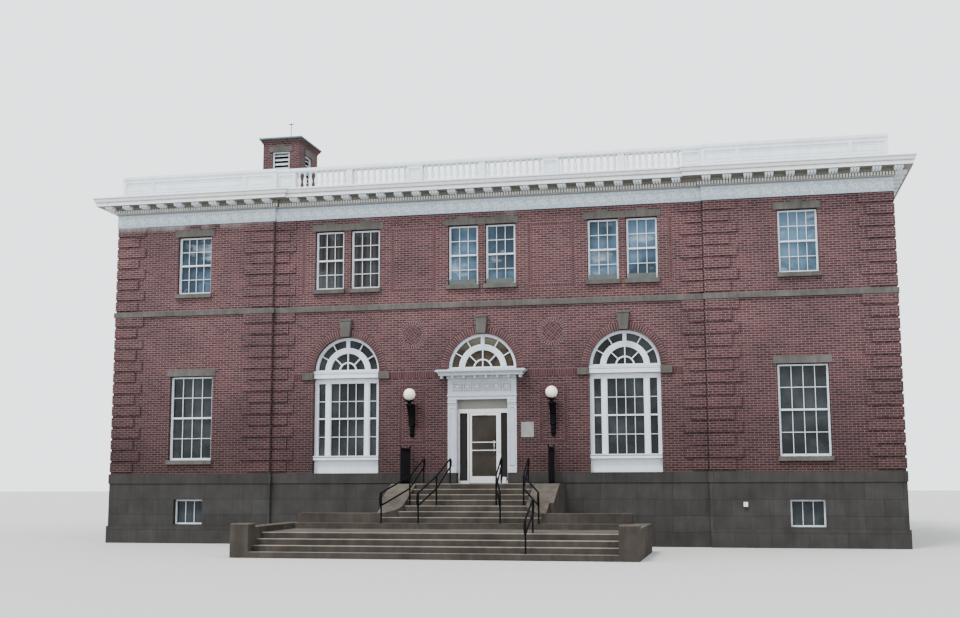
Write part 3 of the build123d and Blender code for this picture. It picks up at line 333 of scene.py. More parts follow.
# A coat is a roughness and a gloss; stain has a stretch, a scale, two ends of its noise, two heights
brickwork = {
    "length": 0.2159, "course": 0.0698, "joint": 0.0127, "smooth": 0.15, "bias": -0.1,
    "light": (0.082, 0.034, 0.036), "dark": (0.040, 0.017, 0.021), "mortar": (0.190, 0.157, 0.154),
    "soot": 0.5, "sooty": (0.74, 0.75, 0.78), "clean": (1.18, 1.12, 1.10), "coat": (0.88, 0.12),
    "grit": (90.0, (0.3, 0.7, 0.82, 1.12)), "grain": 60.0, "grainShare": 0.25,
    # The foot band and its grey darken the lower storey: painted shade
    "foot": (wallZ + 0.3, wallZ + 4.8), "footShade": (0.0, 1.0, 0.54, 1.0),
    "bloom": ((0.8, 0.8, 0.35), 1.2, (0.58, 0.72), (corniceLow - 1.3, corniceLow)), "bloomShare": 0.35,
    "fringe": ((1.5, 1.5, 0.4), 1.6, (0.40, 0.62), (corniceLow - 0.20, corniceLow)),
    "fringeAlong": (wingY - 6.0, wingY - 10.0), "stainTop": corniceLow + 0.5,
    "stain": (0.300, 0.285, 0.285),
}


def paintedShadeAtFoot(vector, color):
    # Painted shade: the lower storey is darkened towards the foot
    foot = bandOf(heightOf(vector), brickwork["foot"])
    return shaded(color, foot, brickwork["footShade"])


def stainPatches(vector, height, stretch, scale, ends, heights):
    patches = bandOf(stretchedNoise(vector, stretch, scale, detail=6), ends)
    return times(patches, bandOf(height, heights))


def brickMaterial():
    # Running bond, clouded with soot, with a pale bloom in patches under the eaves
    material, vector = startMaterial("weathered_brick")
    along, height = wallCoords(vector)
    size = [brickwork[key] for key in ("length", "course", "joint")]
    colors = [brickwork[key] for key in ("light", "dark", "mortar")]
    flat = flatOf(along, height)
    bond = bondOf(flat, size, colors, brickwork["smooth"], brickwork["bias"])
    clouds = clouded(vector, brickwork["soot"], 6, brickwork["sooty"], brickwork["clean"])
    color = timesColor(bond["Color"], clouds)
    color = paintedShadeAtFoot(vector, speckled(color, vector, *brickwork["grit"]))
    bloom = stainPatches(vector, height, *brickwork["bloom"])
    fringe = stainPatches(vector, height, *brickwork["fringe"])
    fringe = times(fringe, bandOf(along, brickwork["fringeAlong"]))
    stain = mathOf("MAXIMUM", times(bloom, brickwork["bloomShare"]), fringe)
    stain = times(stain, mathOf("LESS_THAN", height, brickwork["stainTop"]))
    color = mixColors(stain, color, brickwork["stain"])
    fine = times(noiseAt(vector, brickwork["grain"]), brickwork["grainShare"])
    relief = mathOf("SUBTRACT", fine, bond["Fac"])
    return coat(material, color, *brickwork["coat"], relief, strength=0.6, depth=0.006)


def laidBrickMaterial():
    # Single laid bricks take their tone from an attribute on each brick
    material, vector = startMaterial("laid_brick")
    tone = material.node_tree.nodes.new("ShaderNodeAttribute")
    tone.attribute_name = "tone"
    color = rampOf(tone.outputs["Fac"], (0.0, 1.0), brickwork["dark"], brickwork["light"])
    color = paintedShadeAtFoot(vector, speckled(color, vector, *brickwork["grit"]))
    fine = noiseAt(vector, brickwork["grain"])
    return coat(material, color, *brickwork["coat"], fine, strength=0.4, depth=0.003)


mortar = {"clouds": 6.0, "deeper": 0.86, "sand": 120.0, "shade": (0.3, 0.7, 0.80, 1.12)}


def mortarMaterial():
    material, vector = startMaterial("lime_mortar")
    pale = brickwork["mortar"]
    color = clouded(vector, mortar["clouds"], 4, tint(pale, mortar["deeper"]), pale)
    sand = noiseAt(vector, mortar["sand"])
    color = paintedShadeAtFoot(vector, shaded(color, sand, mortar["shade"]))
    return coat(material, color, roughness=0.95, gloss=0.10, relief=sand, strength=0.4, depth=0.002)


grainy = {
    "fine": 70.0, "shade": (0.35, 0.65, 0.88, 1.07), "runs": (9.0, 9.0, 0.8), "runEnds": (0.35, 0.6),
    "top": (0.3, 0.8), "below": (0.4, 0.8), "mattFrom": 0.6, "mattGloss": 0.12, "paintGloss": 0.35,
}


def grainyMaterial(name, base, spread, roughness, scale, bump=0.0015, streak=0.0, soot=1.0, under=1.0):
    # Cloudy colour and fine grain, with runs down the face, soot on top and shade below where asked
    material, vector = startMaterial(name)
    color = clouded(vector, scale, 6, tint(base, 1 - spread), tint(base, 1 + spread))
    color = speckled(color, vector, grainy["fine"], grainy["shade"])
    if streak:
        shade = (*grainy["runEnds"], 1 - streak, 1.0)
        color = rainRuns(color, vector, grainy["runs"], shade)
    if soot < 1:
        color = shaded(color, facingUp(vector), (*grainy["top"], 1.0, soot))
    if under < 1:
        below = times(facingUp(vector), -1.0)
        color = shaded(color, below, (*grainy["below"], 1.0, under))
    gloss = grainy["mattGloss"] if roughness > grainy["mattFrom"] else grainy["paintGloss"]
    relief = noiseAt(vector, grainy["fine"], detail=5)
    return coat(material, color, roughness, gloss, relief, strength=0.5, depth=bump)


blocks = {
    "tints": (1.12, 0.9, 0.45), "clouds": 1.7, "cloudShade": (0.3, 0.7, 0.78, 1.14), "smooth": 0.3,
    "fine": 110.0, "shade": (0.35, 0.65, 0.88, 1.08), "grainShare": 0.2, "runs": (6.0, 6.0, 0.7),
    "runShade": (0.35, 0.6, 0.84, 1.0),
}


def blockMaterial(name, base, size, seat=0.0, level=False):
    # Cut blocks or sheets with thin joints between them, on walls or on a level roof
    material, vector = startMaterial(name)
    flat = vector
    if not level:
        flat = flatOf(*wallCoords(mappedBy(vector, Location=(0.0, 0.0, -seat))))
    bond = bondOf(flat, size, [tint(base, share) for share in blocks["tints"]], blocks["smooth"])
    clouds = noiseAt(vector, blocks["clouds"], detail=6)
    color = shaded(bond["Color"], clouds, blocks["cloudShade"])
    color = speckled(color, vector, blocks["fine"], blocks["shade"])
    color = rainRuns(color, vector, blocks["runs"], blocks["runShade"])
    fine = times(noiseAt(vector, blocks["fine"]), blocks["grainShare"])
    relief = mathOf("SUBTRACT", fine, bond["Fac"])
    return coat(material, color, roughness=0.85, gloss=0.12, relief=relief, strength=0.5, depth=0.004)


concrete = {
    "clouds": 1.3, "cloudEnds": (0.28, 0.72), "sand": 160.0, "shade": (0.35, 0.65, 0.84, 1.1),
    "runs": (5.0, 5.0, 0.6), "runShade": (0.35, 0.62, 0.80, 1.04), "relief": 120.0,
    "worn": (0.2, 0.8), "riser": (0.84, 0.82, 0.80), "tread": (1.45, 1.43, 1.40),
}


def concreteMaterial(name, low, high):
    # Risers darker than the treads, partly wear and partly painted light and shade by which way a face looks,
    # with cloudy stains and runs
    material, vector = startMaterial(name)
    color = clouded(vector, concrete["clouds"], 7, low, high, concrete["cloudEnds"])
    color = speckled(color, vector, concrete["sand"], concrete["shade"])
    color = rainRuns(color, vector, concrete["runs"], concrete["runShade"])
    # Painted light on the treads and painted shade on the risers, partly wear
    worn = rampOf(facingUp(vector), concrete["worn"], concrete["riser"], concrete["tread"])
    color = timesColor(color, worn)
    relief = noiseAt(vector, concrete["relief"], detail=5)
    return coat(material, color, roughness=0.9, gloss=0.12, relief=relief, strength=0.5, depth=0.003)


eaves = {
    "white": (0.66, 0.69, 0.71), "ground": (0.33, 0.43, 0.51), "soffit": (0.115, 0.110, 0.094),
    "bedShade": (0.150, 0.140, 0.118), "bedZ": corniceLow + 0.548, "bedHalf": 0.104,
    "vineZ": corniceLow + 0.2, "friezeHalf": 0.2, "vineHalf": 0.185, "repeat": 0.36, "wave": 0.062,
    "curl": 0.068, "stem": (0.010, 0.030), "leaves": 17.0, "leafEnds": (0.50, 0.60), "vineShare": 0.75,
    "clouds": 1.5, "deeper": 0.94, "below": (0.5, 0.9), "runs": (9.0, 9.0, 0.8),
    "runShade": (0.35, 0.6, 0.90, 1.0), "fine": 70.0, "grainShare": 0.06,
}


def eavesMaterial():
    # Bright paint, a pale frieze with scrolls in low relief, and painted shade on the bed under the overhang
    # and on the soffit's downward faces
    material, vector = startMaterial("eaves_paint")
    along, height = wallCoords(vector)
    cell = mathOf("FRACT", mathOf("DIVIDE", along, eaves["repeat"]))
    across = times(mathOf("SUBTRACT", cell, 0.5), eaves["repeat"])
    up = mathOf("SUBTRACT", height, eaves["vineZ"])
    wave = times(mathOf("SINE", times(cell, math.tau)), eaves["wave"])
    squares = mathOf("ADD", times(across, across), times(up, up))
    curl = apart(mathOf("SQRT", squares), eaves["curl"])
    vine = mathOf("MINIMUM", apart(up, wave), curl)
    vine = bandOf(vine, eaves["stem"], 1.0, 0.0)
    leaves = bandOf(noiseAt(vector, eaves["leaves"], detail=3), eaves["leafEnds"])
    fromVine = mathOf("ABSOLUTE", up)
    inside = mathOf("LESS_THAN", fromVine, eaves["vineHalf"])
    relief = times(mathOf("MAXIMUM", vine, leaves), inside)
    white = eaves["white"]
    color = clouded(vector, eaves["clouds"], 6, tint(white, eaves["deeper"]), white)
    # Painted shade on the bed mould under the overhang
    onBed = mathOf("LESS_THAN", apart(height, eaves["bedZ"]), eaves["bedHalf"])
    color = mixColors(onBed, color, eaves["bedShade"])
    onFrieze = mathOf("LESS_THAN", fromVine, eaves["friezeHalf"])
    color = mixColors(onFrieze, color, eaves["ground"])
    color = mixColors(times(relief, eaves["vineShare"]), color, white)
    # Painted shade on the faces that look down, the soffit under the overhang
    below = bandOf(times(facingUp(vector), -1.0), eaves["below"])
    color = mixColors(below, color, eaves["soffit"])
    color = rainRuns(color, vector, eaves["runs"], eaves["runShade"])
    fine = times(noiseAt(vector, eaves["fine"]), eaves["grainShare"])
    relief = mathOf("ADD", fine, relief)
    return coat(material, color, roughness=0.5, gloss=0.5, relief=relief, strength=0.8, depth=0.012)


# Panes: painted reflections of sky and clouds in those of the upper storey, dark rooms below, and curtains
# drawn in one pair
panes = {
    "deep": (0.022, 0.038, 0.056), "sky": (0.084, 0.150, 0.222), "cloud": (0.300, 0.360, 0.420),
    "room": (0.010, 0.012, 0.013), "roomLight": (0.034, 0.042, 0.046), "cloth": (0.034, 0.028, 0.023),
    "storey": sillZ + 5.4, "drawnAt": frontY - bays["pitch"], "drawnHalf": 1.4, "drawnShare": 0.85,
    "lean": 0.014, "reflectedSkyEnds": (0.34, 0.60), "reflectedCloudStretch": (0.8, 0.8, 1.6), "cloudEnds": (0.56, 0.66),
    "reflectedCloudShare": 0.55, "roomEnds": (0.40, 0.65), "doorEnds": (0.35, 0.65), "folds": (0.2, 0.8, 0.30, 1.0),
    "doorDeep": (0.012, 0.009, 0.007), "doorPale": (0.026, 0.021, 0.016),
    "warm": (0.050, 0.038, 0.024), "lit": (0.170, 0.155, 0.115), "litZ": (springZ + 0.55, springZ + 1.0),
    "beside": (0.010, 0.009, 0.008), "fanLow": springZ - 0.3, "mottle": (0.35, 0.65, 0.4, 1.1),
}


def glaze(material, vector, color, roughness=0.06, gloss=0.12):
    ripple = noiseAt(vector, scale=1.4, detail=2)
    return coat(material, color, roughness, gloss, ripple, strength=0.05, depth=0.01)


def windowGlassMaterial():
    material, vector = startMaterial("window_panes")
    along, height = wallCoords(vector)
    # Painted reflection of the sky, changing along the wall, with painted clouds
    tone = mathOf("ADD", times(along, panes["lean"]), noiseAt(vector, scale=0.8, detail=3))
    color = rampOf(tone, panes["reflectedSkyEnds"], panes["deep"], panes["sky"])
    clouds = stretchedNoise(vector, panes["reflectedCloudStretch"], scale=1.3)
    clouds = times(bandOf(clouds, panes["cloudEnds"]), panes["reflectedCloudShare"])
    color = mixColors(clouds, color, panes["cloud"])
    inside = clouded(vector, 0.9, 4, panes["room"], panes["roomLight"], panes["roomEnds"])
    upper = mathOf("GREATER_THAN", height, panes["storey"])
    color = mixColors(upper, inside, color)
    flat = flatOf(along, height)
    # Painted shade in the folds of the drawn curtains
    inputs = {"Vector": flat, "Scale": 1.6, "Distortion": 1.2, "Detail": 2.0, "Detail Scale": 0.6}
    folds = addNode("ShaderNodeTexWave", inputs, bands_direction="X").outputs["Fac"]
    cloth = shaded(panes["cloth"], folds, panes["folds"])
    drawn = mathOf("LESS_THAN", apart(along, panes["drawnAt"]), panes["drawnHalf"])
    drawn = times(times(drawn, upper), panes["drawnShare"])
    color = mixColors(drawn, color, cloth)
    return glaze(material, vector, color, roughness=0.05)


def doorGlassMaterial():
    material, vector = startMaterial("door_pane")
    color = clouded(vector, 1.6, 3, panes["doorDeep"], panes["doorPale"], panes["doorEnds"])
    return glaze(material, vector, color)


def entranceGlassMaterial():
    # Panes of the fanlight painted with a warm glow, lighter towards the top, and dark ones beside the door
    material, vector = startMaterial("entrance_panes")
    height = heightOf(vector)
    color = shaded(panes["warm"], noiseAt(vector, scale=4.0), panes["mottle"])
    # Painted glow, lighter towards the top of the fan
    color = mixColors(bandOf(height, panes["litZ"]), color, panes["lit"])
    inFan = mathOf("GREATER_THAN", height, panes["fanLow"])
    return glaze(material, vector, mixColors(inFan, panes["beside"], color), gloss=0.10)


metals = {
    "brush": (40.0, 40.0, 3.0), "worn": 6.0, "deeper": 0.82, "paler": 1.12, "spread": 0.2, "relief": 45.0,
}


def metalMaterial(name, base, roughness, metallic=0.0, gloss=0.5, brushed=False):
    material, vector = startMaterial(name)
    streaks = mappedBy(vector, Scale=metals["brush"]) if brushed else vector
    worn = noiseAt(streaks, metals["worn"], detail=5)
    color = rampOf(worn, (0.3, 0.7), tint(base, metals["deeper"]), tint(base, metals["paler"]))
    inputs = {0: worn, 1: metals["spread"], 2: roughness - metals["spread"] / 2}
    rough = addNode("ShaderNodeMath", inputs, operation="MULTIPLY_ADD").outputs[0]
    plug(shaderOf(material), {"Metallic": metallic})
    relief = noiseAt(vector, metals["relief"])
    return coat(material, color, rough, gloss, relief, strength=0.3, depth=0.001)


def globeMaterial():
    material, vector = startMaterial("opal_globe")
    plug(shaderOf(material), {
        "Base Color": clouded(vector, 5.0, 3, (0.80, 0.76, 0.66), (0.92, 0.89, 0.80)),
        "Roughness": 0.25, "Subsurface Weight": 0.3, "Subsurface Radius": (0.05, 0.05, 0.05),
    })
    return material


looks = {
    "brick": brickMaterial(),
    "laidBrick": laidBrickMaterial(),
    "mortar": mortarMaterial(),
    "stone": grainyMaterial(
        "grey_trim_stone", (0.082, 0.078, 0.072), spread=0.22, roughness=0.85, scale=2.0,
        streak=0.22, soot=0.6, under=0.3,
    ),
    "course": blockMaterial("base_course_stone", (0.034, 0.032, 0.030), (1.04, 0.60, 0.010), seat=1.6),
    "basement": blockMaterial("basement_blocks", (0.034, 0.033, 0.031), (1.04, 0.47, 0.010), seat=0.42),
    "concrete": concreteMaterial("worn_concrete", (0.032, 0.028, 0.024), (0.070, 0.062, 0.054)),
    # Pale strips along the step edges: a painted highlight
    "nosing": concreteMaterial("nosing_highlights", (0.150, 0.136, 0.120), (0.240, 0.222, 0.196)),
    "eaves": eavesMaterial(),
    "whiteTrim": grainyMaterial(
        "white_parapet_paint", (0.72, 0.79, 0.83), spread=0.05, roughness=0.5, scale=1.5,
        bump=0.0008, streak=0.10,
    ),
    # The dentils' grey is white paint darkened: painted shade under the overhang
    "shadedPaint": grainyMaterial(
        "shaded_dentil_paint", (0.58, 0.59, 0.58), spread=0.10, roughness=0.55, scale=2.0,
        bump=0.0008, streak=0.12,
    ),
    # White window paint darkened: painted shade
    "whiteWood": grainyMaterial(
        "shaded_white_window_paint", (0.60, 0.65, 0.71), spread=0.05, roughness=0.45, scale=3.0,
        bump=0.0006, streak=0.06,
    ),
    # The surround's white paint darkened to a blue grey: painted shade
    "doorWood": grainyMaterial(
        "shaded_white_surround_paint", (0.40, 0.44, 0.49), spread=0.06, roughness=0.5, scale=3.0,
        bump=0.0006, streak=0.10,
    ),
    "glass": windowGlassMaterial(),
    "doorGlass": doorGlassMaterial(),
    "fanGlass": entranceGlassMaterial(),
    "aluminium": metalMaterial("satin_aluminium", (0.60, 0.61, 0.62), 0.42, metallic=0.85, brushed=True),
    "iron": metalMaterial("black_painted_iron", (0.004, 0.004, 0.005), 0.65, gloss=0.05),
    "opal": globeMaterial(),
    "greenMetal": metalMaterial("green_box_paint", (0.070, 0.084, 0.082), 0.6, gloss=0.15),
    "copper": metalMaterial("green_copper", (0.050, 0.125, 0.125), 0.7, gloss=0.2),
    "felt": blockMaterial("roof_felt", (0.060, 0.060, 0.063), (8.0, 1.0, 0.03), level=True),
    # Dark strips at the window frames: joints and painted shadow
    "jointShadows": grainyMaterial("dark_joint_shadow", (0.016, 0.014, 0.014), spread=0.3, roughness=0.8, scale=5.0),
    "beige": grainyMaterial(
        "beige_panel_paint", (0.185, 0.180, 0.162), spread=0.05, roughness=0.5, scale=2.0
    ),
    "plaque": metalMaterial("grey_plaque", (0.20, 0.205, 0.20), 0.4, metallic=0.6),
    "white": grainyMaterial("white_box", (0.60, 0.60, 0.58), spread=0.08, roughness=0.5, scale=8.0),
}

nodeLooks = {
    "brick": (
        "front_wall_left_wing", "front_wall_left", "wall_over_entrance", "front_wall_right",
        "front_wall_right_wing", "left_wall", "right_wall", "back_wall", "quoins", "vent_stack",
        "stack_corbel",
    ),
    "stone": ("belt_course", "window_heads", "window_sills", "arch_stones", "stack_lintels"),
    "course": ("base_course",),
    "basement": ("basement_front_wall", "basement_side_walls", "basement_back_wall"),
    "concrete": (
        "upper_steps", "lower_steps", "stair_walls", "end_piers", "basement_floor", "ground_floor",
        "upper_floor",
    ),
    "eaves": ("front_cornice", "side_cornices", "back_cornice"),
    "whiteTrim": ("modillions", "parapet", "balustrade_rails", "balusters"),
    "shadedPaint": ("dentils",),
    "whiteWood": (
        "upper_window_frames", "lower_window_frames", "arched_window_frames", "entrance_fanlight",
        "stack_louvres",
    ),
    "doorWood": ("door_surround", "door_hood"),
    "glass": ("upper_glass", "lower_glass", "basement_windows"),
    "doorGlass": ("door_glass",),
    "fanGlass": ("entrance_glass",),
    "aluminium": ("storefront_frame", "door_leaf", "door_bars"),
    "iron": ("handrails", "iron_guards", "lamp_brackets", "roof_rod"),
    "opal": ("lamp_globes",),
    "greenMetal": ("window_boxes",),
    "copper": ("stack_cap",),
    "felt": ("roof_deck",),
}
for look, names in nodeLooks.items():
    for name in names:
        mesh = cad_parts[name].data
        mesh.materials.clear()
        mesh.materials.append(looks[look])
print("scene: finishes on", sum(len(names) for names in nodeLooks.values()), "nodes")


# Sash windows, by width, foot, head and panes across
sash = {
    "stile": 0.055, "meeting": 0.045, "rim": 0.012, "lap": 0.004, "face": -0.132, "step": 0.022, "rows": 2,
    "deep": 0.03, "bar": 0.017, "barDepth": (-0.026, -0.006), "crossDepth": (-0.025, -0.007),
    "pairCentre": 0.582,
}
sashSizes = {
    "pair": (0.942, sillZ + 6.023, sillZ + 7.893, 3),
    "wing": (1.142, sillZ + 6.023, sillZ + 7.893, 4),
    "lower": (1.44, sillZ + 0.745, sillZ + 3.390, 4),
}
upperSashes = [("front", axis + side * sash["pairCentre"], "pair") for axis in frontAxes for side in (-1, 1)]
upperSashes += [(wall, axis, "wing") for wall, axes in plainWalls for axis in axes]
lowerSashes = [(wall, axis, "lower") for wall, axes in plainWalls for axis in axes]


def barLights(bm, wall, u, z, columns, rows, face, rims):
    # One light: a rim on each side, thin ones at its foot and head, and bars across it
    side, low, high = rims
    depth = (face - sash["deep"], face)
    half = sash["bar"] / 2
    inside = (u[0] + side, u[1] - side)
    clear = (z[0] + low, z[1] - high)
    wallBox(bm, wall, (u[0], inside[0]), depth, z)
    wallBox(bm, wall, (inside[1], u[1]), depth, z)
    wallBox(bm, wall, inside, depth, (z[0], clear[0]))
    wallBox(bm, wall, inside, depth, (clear[1], z[1]))
    for i in range(1, columns):
        middle = inside[0] + (inside[1] - inside[0]) * i / columns
        wallBox(bm, wall, around(middle, half), span(face, sash["barDepth"]), clear)
    for i in range(1, rows):
        middle = clear[0] + (clear[1] - clear[0]) * i / rows
        wallBox(bm, wall, inside, span(face, sash["crossDepth"]), around(middle, half))


def sashWindow(bm, wall, centre, size):
    width, low, high, columns = sashSizes[size]
    stile, rim, lap = sash["stile"], sash["rim"], sash["lap"]
    u = around(centre, width / 2 - stile)
    foot, head = around((low + high) / 2, sash["meeting"] / 2)
    rows, face = sash["rows"], sash["face"]
    barLights(bm, wall, u, (head, high - stile), columns, rows, face, (rim, lap, rim))
    barLights(bm, wall, u, (low + stile, foot), columns, rows, face - sash["step"], (rim, rim, lap))


for name, places in (("upper_window_bars", upperSashes), ("lower_window_bars", lowerSashes)):
    bm = bmesh.new()
    for place in places:
        sashWindow(bm, *place)
    finishPiece(name, bm, "whiteWood")

# Dark strips between the frames and the brick, partly joints and partly painted shadow in the reveals, wider
# under the heads
jointShadows = {
    "head": 0.028, "side": 0.016, "out": (fit, 0.008), "archOut": (-0.0549, -0.050), "archInset": 0.004,
    "archLines": ((3.222, 3.238), (3.371, 3.379), (0.803, 0.815)),
}
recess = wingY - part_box("upper_window_frames")[0].y
bm = bmesh.new()
for wall, centre, size in upperSashes + lowerSashes:
    width, low, high, columns = sashSizes[size]
    out = span(recess, jointShadows["out"])
    left, right = around(centre, width / 2 - fit)
    under = high - jointShadows["head"]
    wallBox(bm, wall, (left, right), out, (under, high - fit))
    wallBox(bm, wall, (left, left + jointShadows["side"]), out, (low + fit, under))
    wallBox(bm, wall, (right - jointShadows["side"], right), out, (low + fit, under))
# Dark lines under the ledges of the arched windows: painted shadow and joints
for centre in archAxes:
    for line in jointShadows["archLines"]:
        u = around(centre, archRadius - jointShadows["archInset"])
        wallBox(bm, "front", u, jointShadows["archOut"], span(sillZ, line))
finishPiece("frame_joint_shadows", bm, "jointShadows")

basementBars = {"half": 0.48, "z": (-1.238, -0.478), "face": -0.16, "rim": 0.045, "columns": 3}
bm = bmesh.new()
for wall, axes in plainWalls:
    for centre in axes:
        u, z = around(centre, basementBars["half"]), span(sillZ, basementBars["z"])
        rims = (basementBars["rim"],) * 3
        barLights(bm, wall, u, z, basementBars["columns"], 1, basementBars["face"], rims)
finishPiece("basement_window_bars", bm, "whiteWood")

# Arched windows: three lights under the transom, each an offset, a width and its panes across
arched = {
    "low": sillZ + 0.848, "high": sillZ + 3.085, "meeting": sillZ + 1.994, "gap": 0.022, "face": -0.200,
    "lights": ((0, 1.085, 4), (-0.828, 0.228, 1), (0.828, 0.228, 1)), "step": 0.025, "rows": 2,
    "rims": (0.006, 0.004, 0.006), "rail": (-0.199, -0.190),
    "mullion": (0.5725, 0.684), "mullionOut": (-0.18, -0.165), "mullionZ": (0.868, 3.145),
}
bm = bmesh.new()
for centre in archAxes:
    rows, face, rims = arched["rows"], arched["face"], arched["rims"]
    meeting = around(arched["meeting"], arched["gap"])
    for offset, width, columns in arched["lights"]:
        u = around(centre + offset, width / 2)
        barLights(bm, "front", u, (meeting[0], arched["high"]), columns, rows, face, rims)
        lower = (arched["low"], meeting[1])
        barLights(bm, "front", u, lower, columns, rows, face - arched["step"], rims)
        wallBox(bm, "front", u, arched["rail"], meeting)
    # Raised faces on the mullions between the lights
    for side in (-1, 1):
        u = sorted(centre + side * edge for edge in arched["mullion"])
        wallBox(bm, "front", u, arched["mullionOut"], span(sillZ, arched["mullionZ"]))
finishPiece("arched_window_bars", bm, "whiteWood")

# Mouldings along the transoms and sub sills of the arched windows
ledges = {
    "inset": 0.002, "back": -0.0549,
    "rows": (
        (3.430, 3.456, -0.030), (3.380, 3.430, -0.042), (3.240, 3.262, -0.040), (3.262, 3.285, -0.048),
        (0.820, 0.848, -0.035),
    ),
}
bm = bmesh.new()
for centre in archAxes:
    for low, high, out in ledges["rows"]:
        u = around(centre, archRadius - ledges["inset"])
        wallBox(bm, "front", u, (ledges["back"], out), span(sillZ, (low, high)))
finishPiece("arched_window_ledges", bm, "whiteWood")

# Raised beads round the rims and rings of the three fans, as shares of the arch's radius
beads = {
    "rings": ((0.955, 0.985), (0.575, 0.600), (0.640, 0.665)), "tall": 0.014, "foot": 0.05, "steps": 48,
    "faces": (-0.18, -0.11, -0.18),
}
bm = bmesh.new()
for centre, face in zip(frontAxes, beads["faces"]):
    for ring in beads["rings"]:
        radii = [archRadius * share for share in ring]
        halfRing(bm, (centre, springZ), radii, face, beads["tall"], beads["steps"], foot=beads["foot"])
finishPiece("fan_beads", bm, "whiteWood")
print("scene: window bars")


# Laid bricks: arch rings, bands, panels and round ornaments, each brick with its own tone
laid = {
    "proud": 0.006, "backing": 0.0025, "joint": 0.009, "ring": 0.205, "edge": 0.045, "course": 0.071,
    "header": 0.098, "ringTone": 0.25, "rowTone": 0.35, "archGap": 0.004, "bedGap": 0.002, "bedSteps": 36,
    "bandLow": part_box("arch_stones")[0].z, "bandHigh": sillZ + 3.401, "bandFrom": 1.40, "bandStop": 0.70,
    "impost": archRadius + 0.345, "column": 1.43,
    "panelZ": (sillZ + 5.89, sillZ + 7.86), "panelHalf": 0.72,
    "lampPanelZ": (sillZ + 1.20, sillZ + 2.98), "lampPanelHalf": 0.42,
}
ornament = {
    "x": 2.17, "z": sillZ + 4.52, "radius": 0.43, "rim": 0.105, "rimSpacing": 0.060, "rimBed": 0.108,
    "rimOut": 0.003, "rimTall": 0.0021, "rimSteps": 20, "cell": 0.142, "cells": 4, "inset": 0.075,
    "proud": 0.0045, "tone": 0.2, "turn": math.radians(45), "discOut": 0.0015, "discSides": 40,
}


# Turns the x, y and z of a brick to point along, up and out of the front wall
onFront = Matrix(((1, 0, 0, 0), (0, 0, -1, 0), (0, 1, 0, 0), (0, 0, 0, 1)))


def layBrick(bm, tone, centre, length, width, angle, low, proud=laid["proud"]):
    # A brick face of the given length and width, turned by angle in the plane of the front
    turn = Matrix.Rotation(angle, 4, Vector((0, -1, 0)))
    place = Matrix.Translation(onWall("front", centre[0], proud / 2, centre[1])) @ turn @ onFront
    size = Matrix.Diagonal((length, width, proud, 1))
    value = low + (1 - low) * random.random()
    for vert in bmesh.ops.create_cube(bm, size=1, matrix=place @ size)["verts"]:
        vert[tone] = value


def ringOfBricks(bm, tone, centre, inner, length, arc, spacing):
    # Bricks set radially in a ring, from the inner radius outwards
    radius = inner + length / 2
    count = round(arc * inner / spacing)
    width = arc * inner / count - laid["joint"]
    for i in range(count):
        angle = arc * (i + 0.5) / count
        spot = (centre[0] + radius * math.cos(angle), centre[1] + radius * math.sin(angle))
        layBrick(bm, tone, spot, length - laid["joint"], width, angle, laid["ringTone"])


def headerRow(bm, tone, u, z, upright):
    # A line of bricks on end between two points: a column of headers, or a band of uprights
    start, end = z if upright else u
    count = max(1, round((end - start) / laid["course"]))
    step = (end - start) / count
    for i in range(count):
        middle = start + step * (i + 0.5)
        spot = (sum(u) / 2, middle) if upright else (middle, sum(z) / 2)
        length = u[1] - u[0] - laid["joint"] if upright else step - laid["joint"]
        width = step - laid["joint"] if upright else z[1] - z[0] - laid["joint"]
        layBrick(bm, tone, spot, length, width, 0, laid["rowTone"])


def panelStrips(centre, half, z):
    # A rectangle outlined by headers at its sides and uprights along its head and foot
    deep = laid["header"]
    low, high = z
    sides = [sorted((centre + side * half, centre + side * (half - deep))) for side in (-1, 1)]
    inside = (centre - half + deep, centre + half - deep)
    strips = [(u, z, True) for u in sides]
    return strips + [(inside, (high - deep, high), False), (inside, (low, low + deep), False)]


strips = []
for start, end in (
    (laid["bandFrom"], bays["pitch"] - laid["impost"]),
    (bays["pitch"] + laid["impost"], wingEdge - laid["bandStop"]),
):
    for side in (-1, 1):
        strips.append((sorted((side * start, side * end)), (laid["bandLow"], laid["bandHigh"]), False))
for axis, half, z in (
    (bays["pitch"] / 2, laid["panelHalf"], laid["panelZ"]),
    (ornament["x"], laid["lampPanelHalf"], laid["lampPanelZ"]),
):
    strips += panelStrips(-axis, half, z) + panelStrips(axis, half, z)
for side in (-1, 1):
    u = around(side * (bays["pitch"] + laid["column"]), laid["header"] / 2)
    strips.append((u, laid["panelZ"], True))

bm = bmesh.new()
tone = bm.verts.layers.float.new("tone")
for axis in frontAxes:
    centre = (axis, springZ)
    outer = archRadius + laid["ring"]
    inner = archRadius + laid["archGap"]
    ringOfBricks(bm, tone, centre, inner, laid["ring"], math.pi, laid["course"])
    ringOfBricks(bm, tone, centre, outer, laid["edge"], math.pi, brickwork["length"])
for u, z, upright in strips:
    headerRow(bm, tone, u, z, upright)

# Round ornaments: a circle of headers round a weave of paired bricks
cell = ornament["cell"]
cells = range(-ornament["cells"], ornament["cells"] + 1)
for side in (-1, 1):
    centre = (side * ornament["x"], ornament["z"])
    inner = ornament["radius"] - ornament["rim"]
    ringOfBricks(bm, tone, centre, inner, ornament["rim"], math.tau, ornament["rimSpacing"])
    for row in cells:
        for column in cells:
            lying = (row + column) % 2 == 0
            for shift in (-cell / 4, cell / 4):
                x = column * cell + (0 if lying else shift)
                y = row * cell + (shift if lying else 0)
                if math.hypot(x, y) > ornament["radius"] - ornament["inset"]:
                    continue
                turned = Matrix.Rotation(ornament["turn"], 2) @ Vector((x, y))
                angle = ornament["turn"] + (0 if lying else math.pi / 2)
                spot = (centre[0] + turned.x, centre[1] + turned.y)
                size = (cell - laid["joint"], cell / 2 - laid["joint"])
                layBrick(bm, tone, spot, *size, angle, ornament["tone"], ornament["proud"])
finishPiece("laid_bricks", bm, "laidBrick")

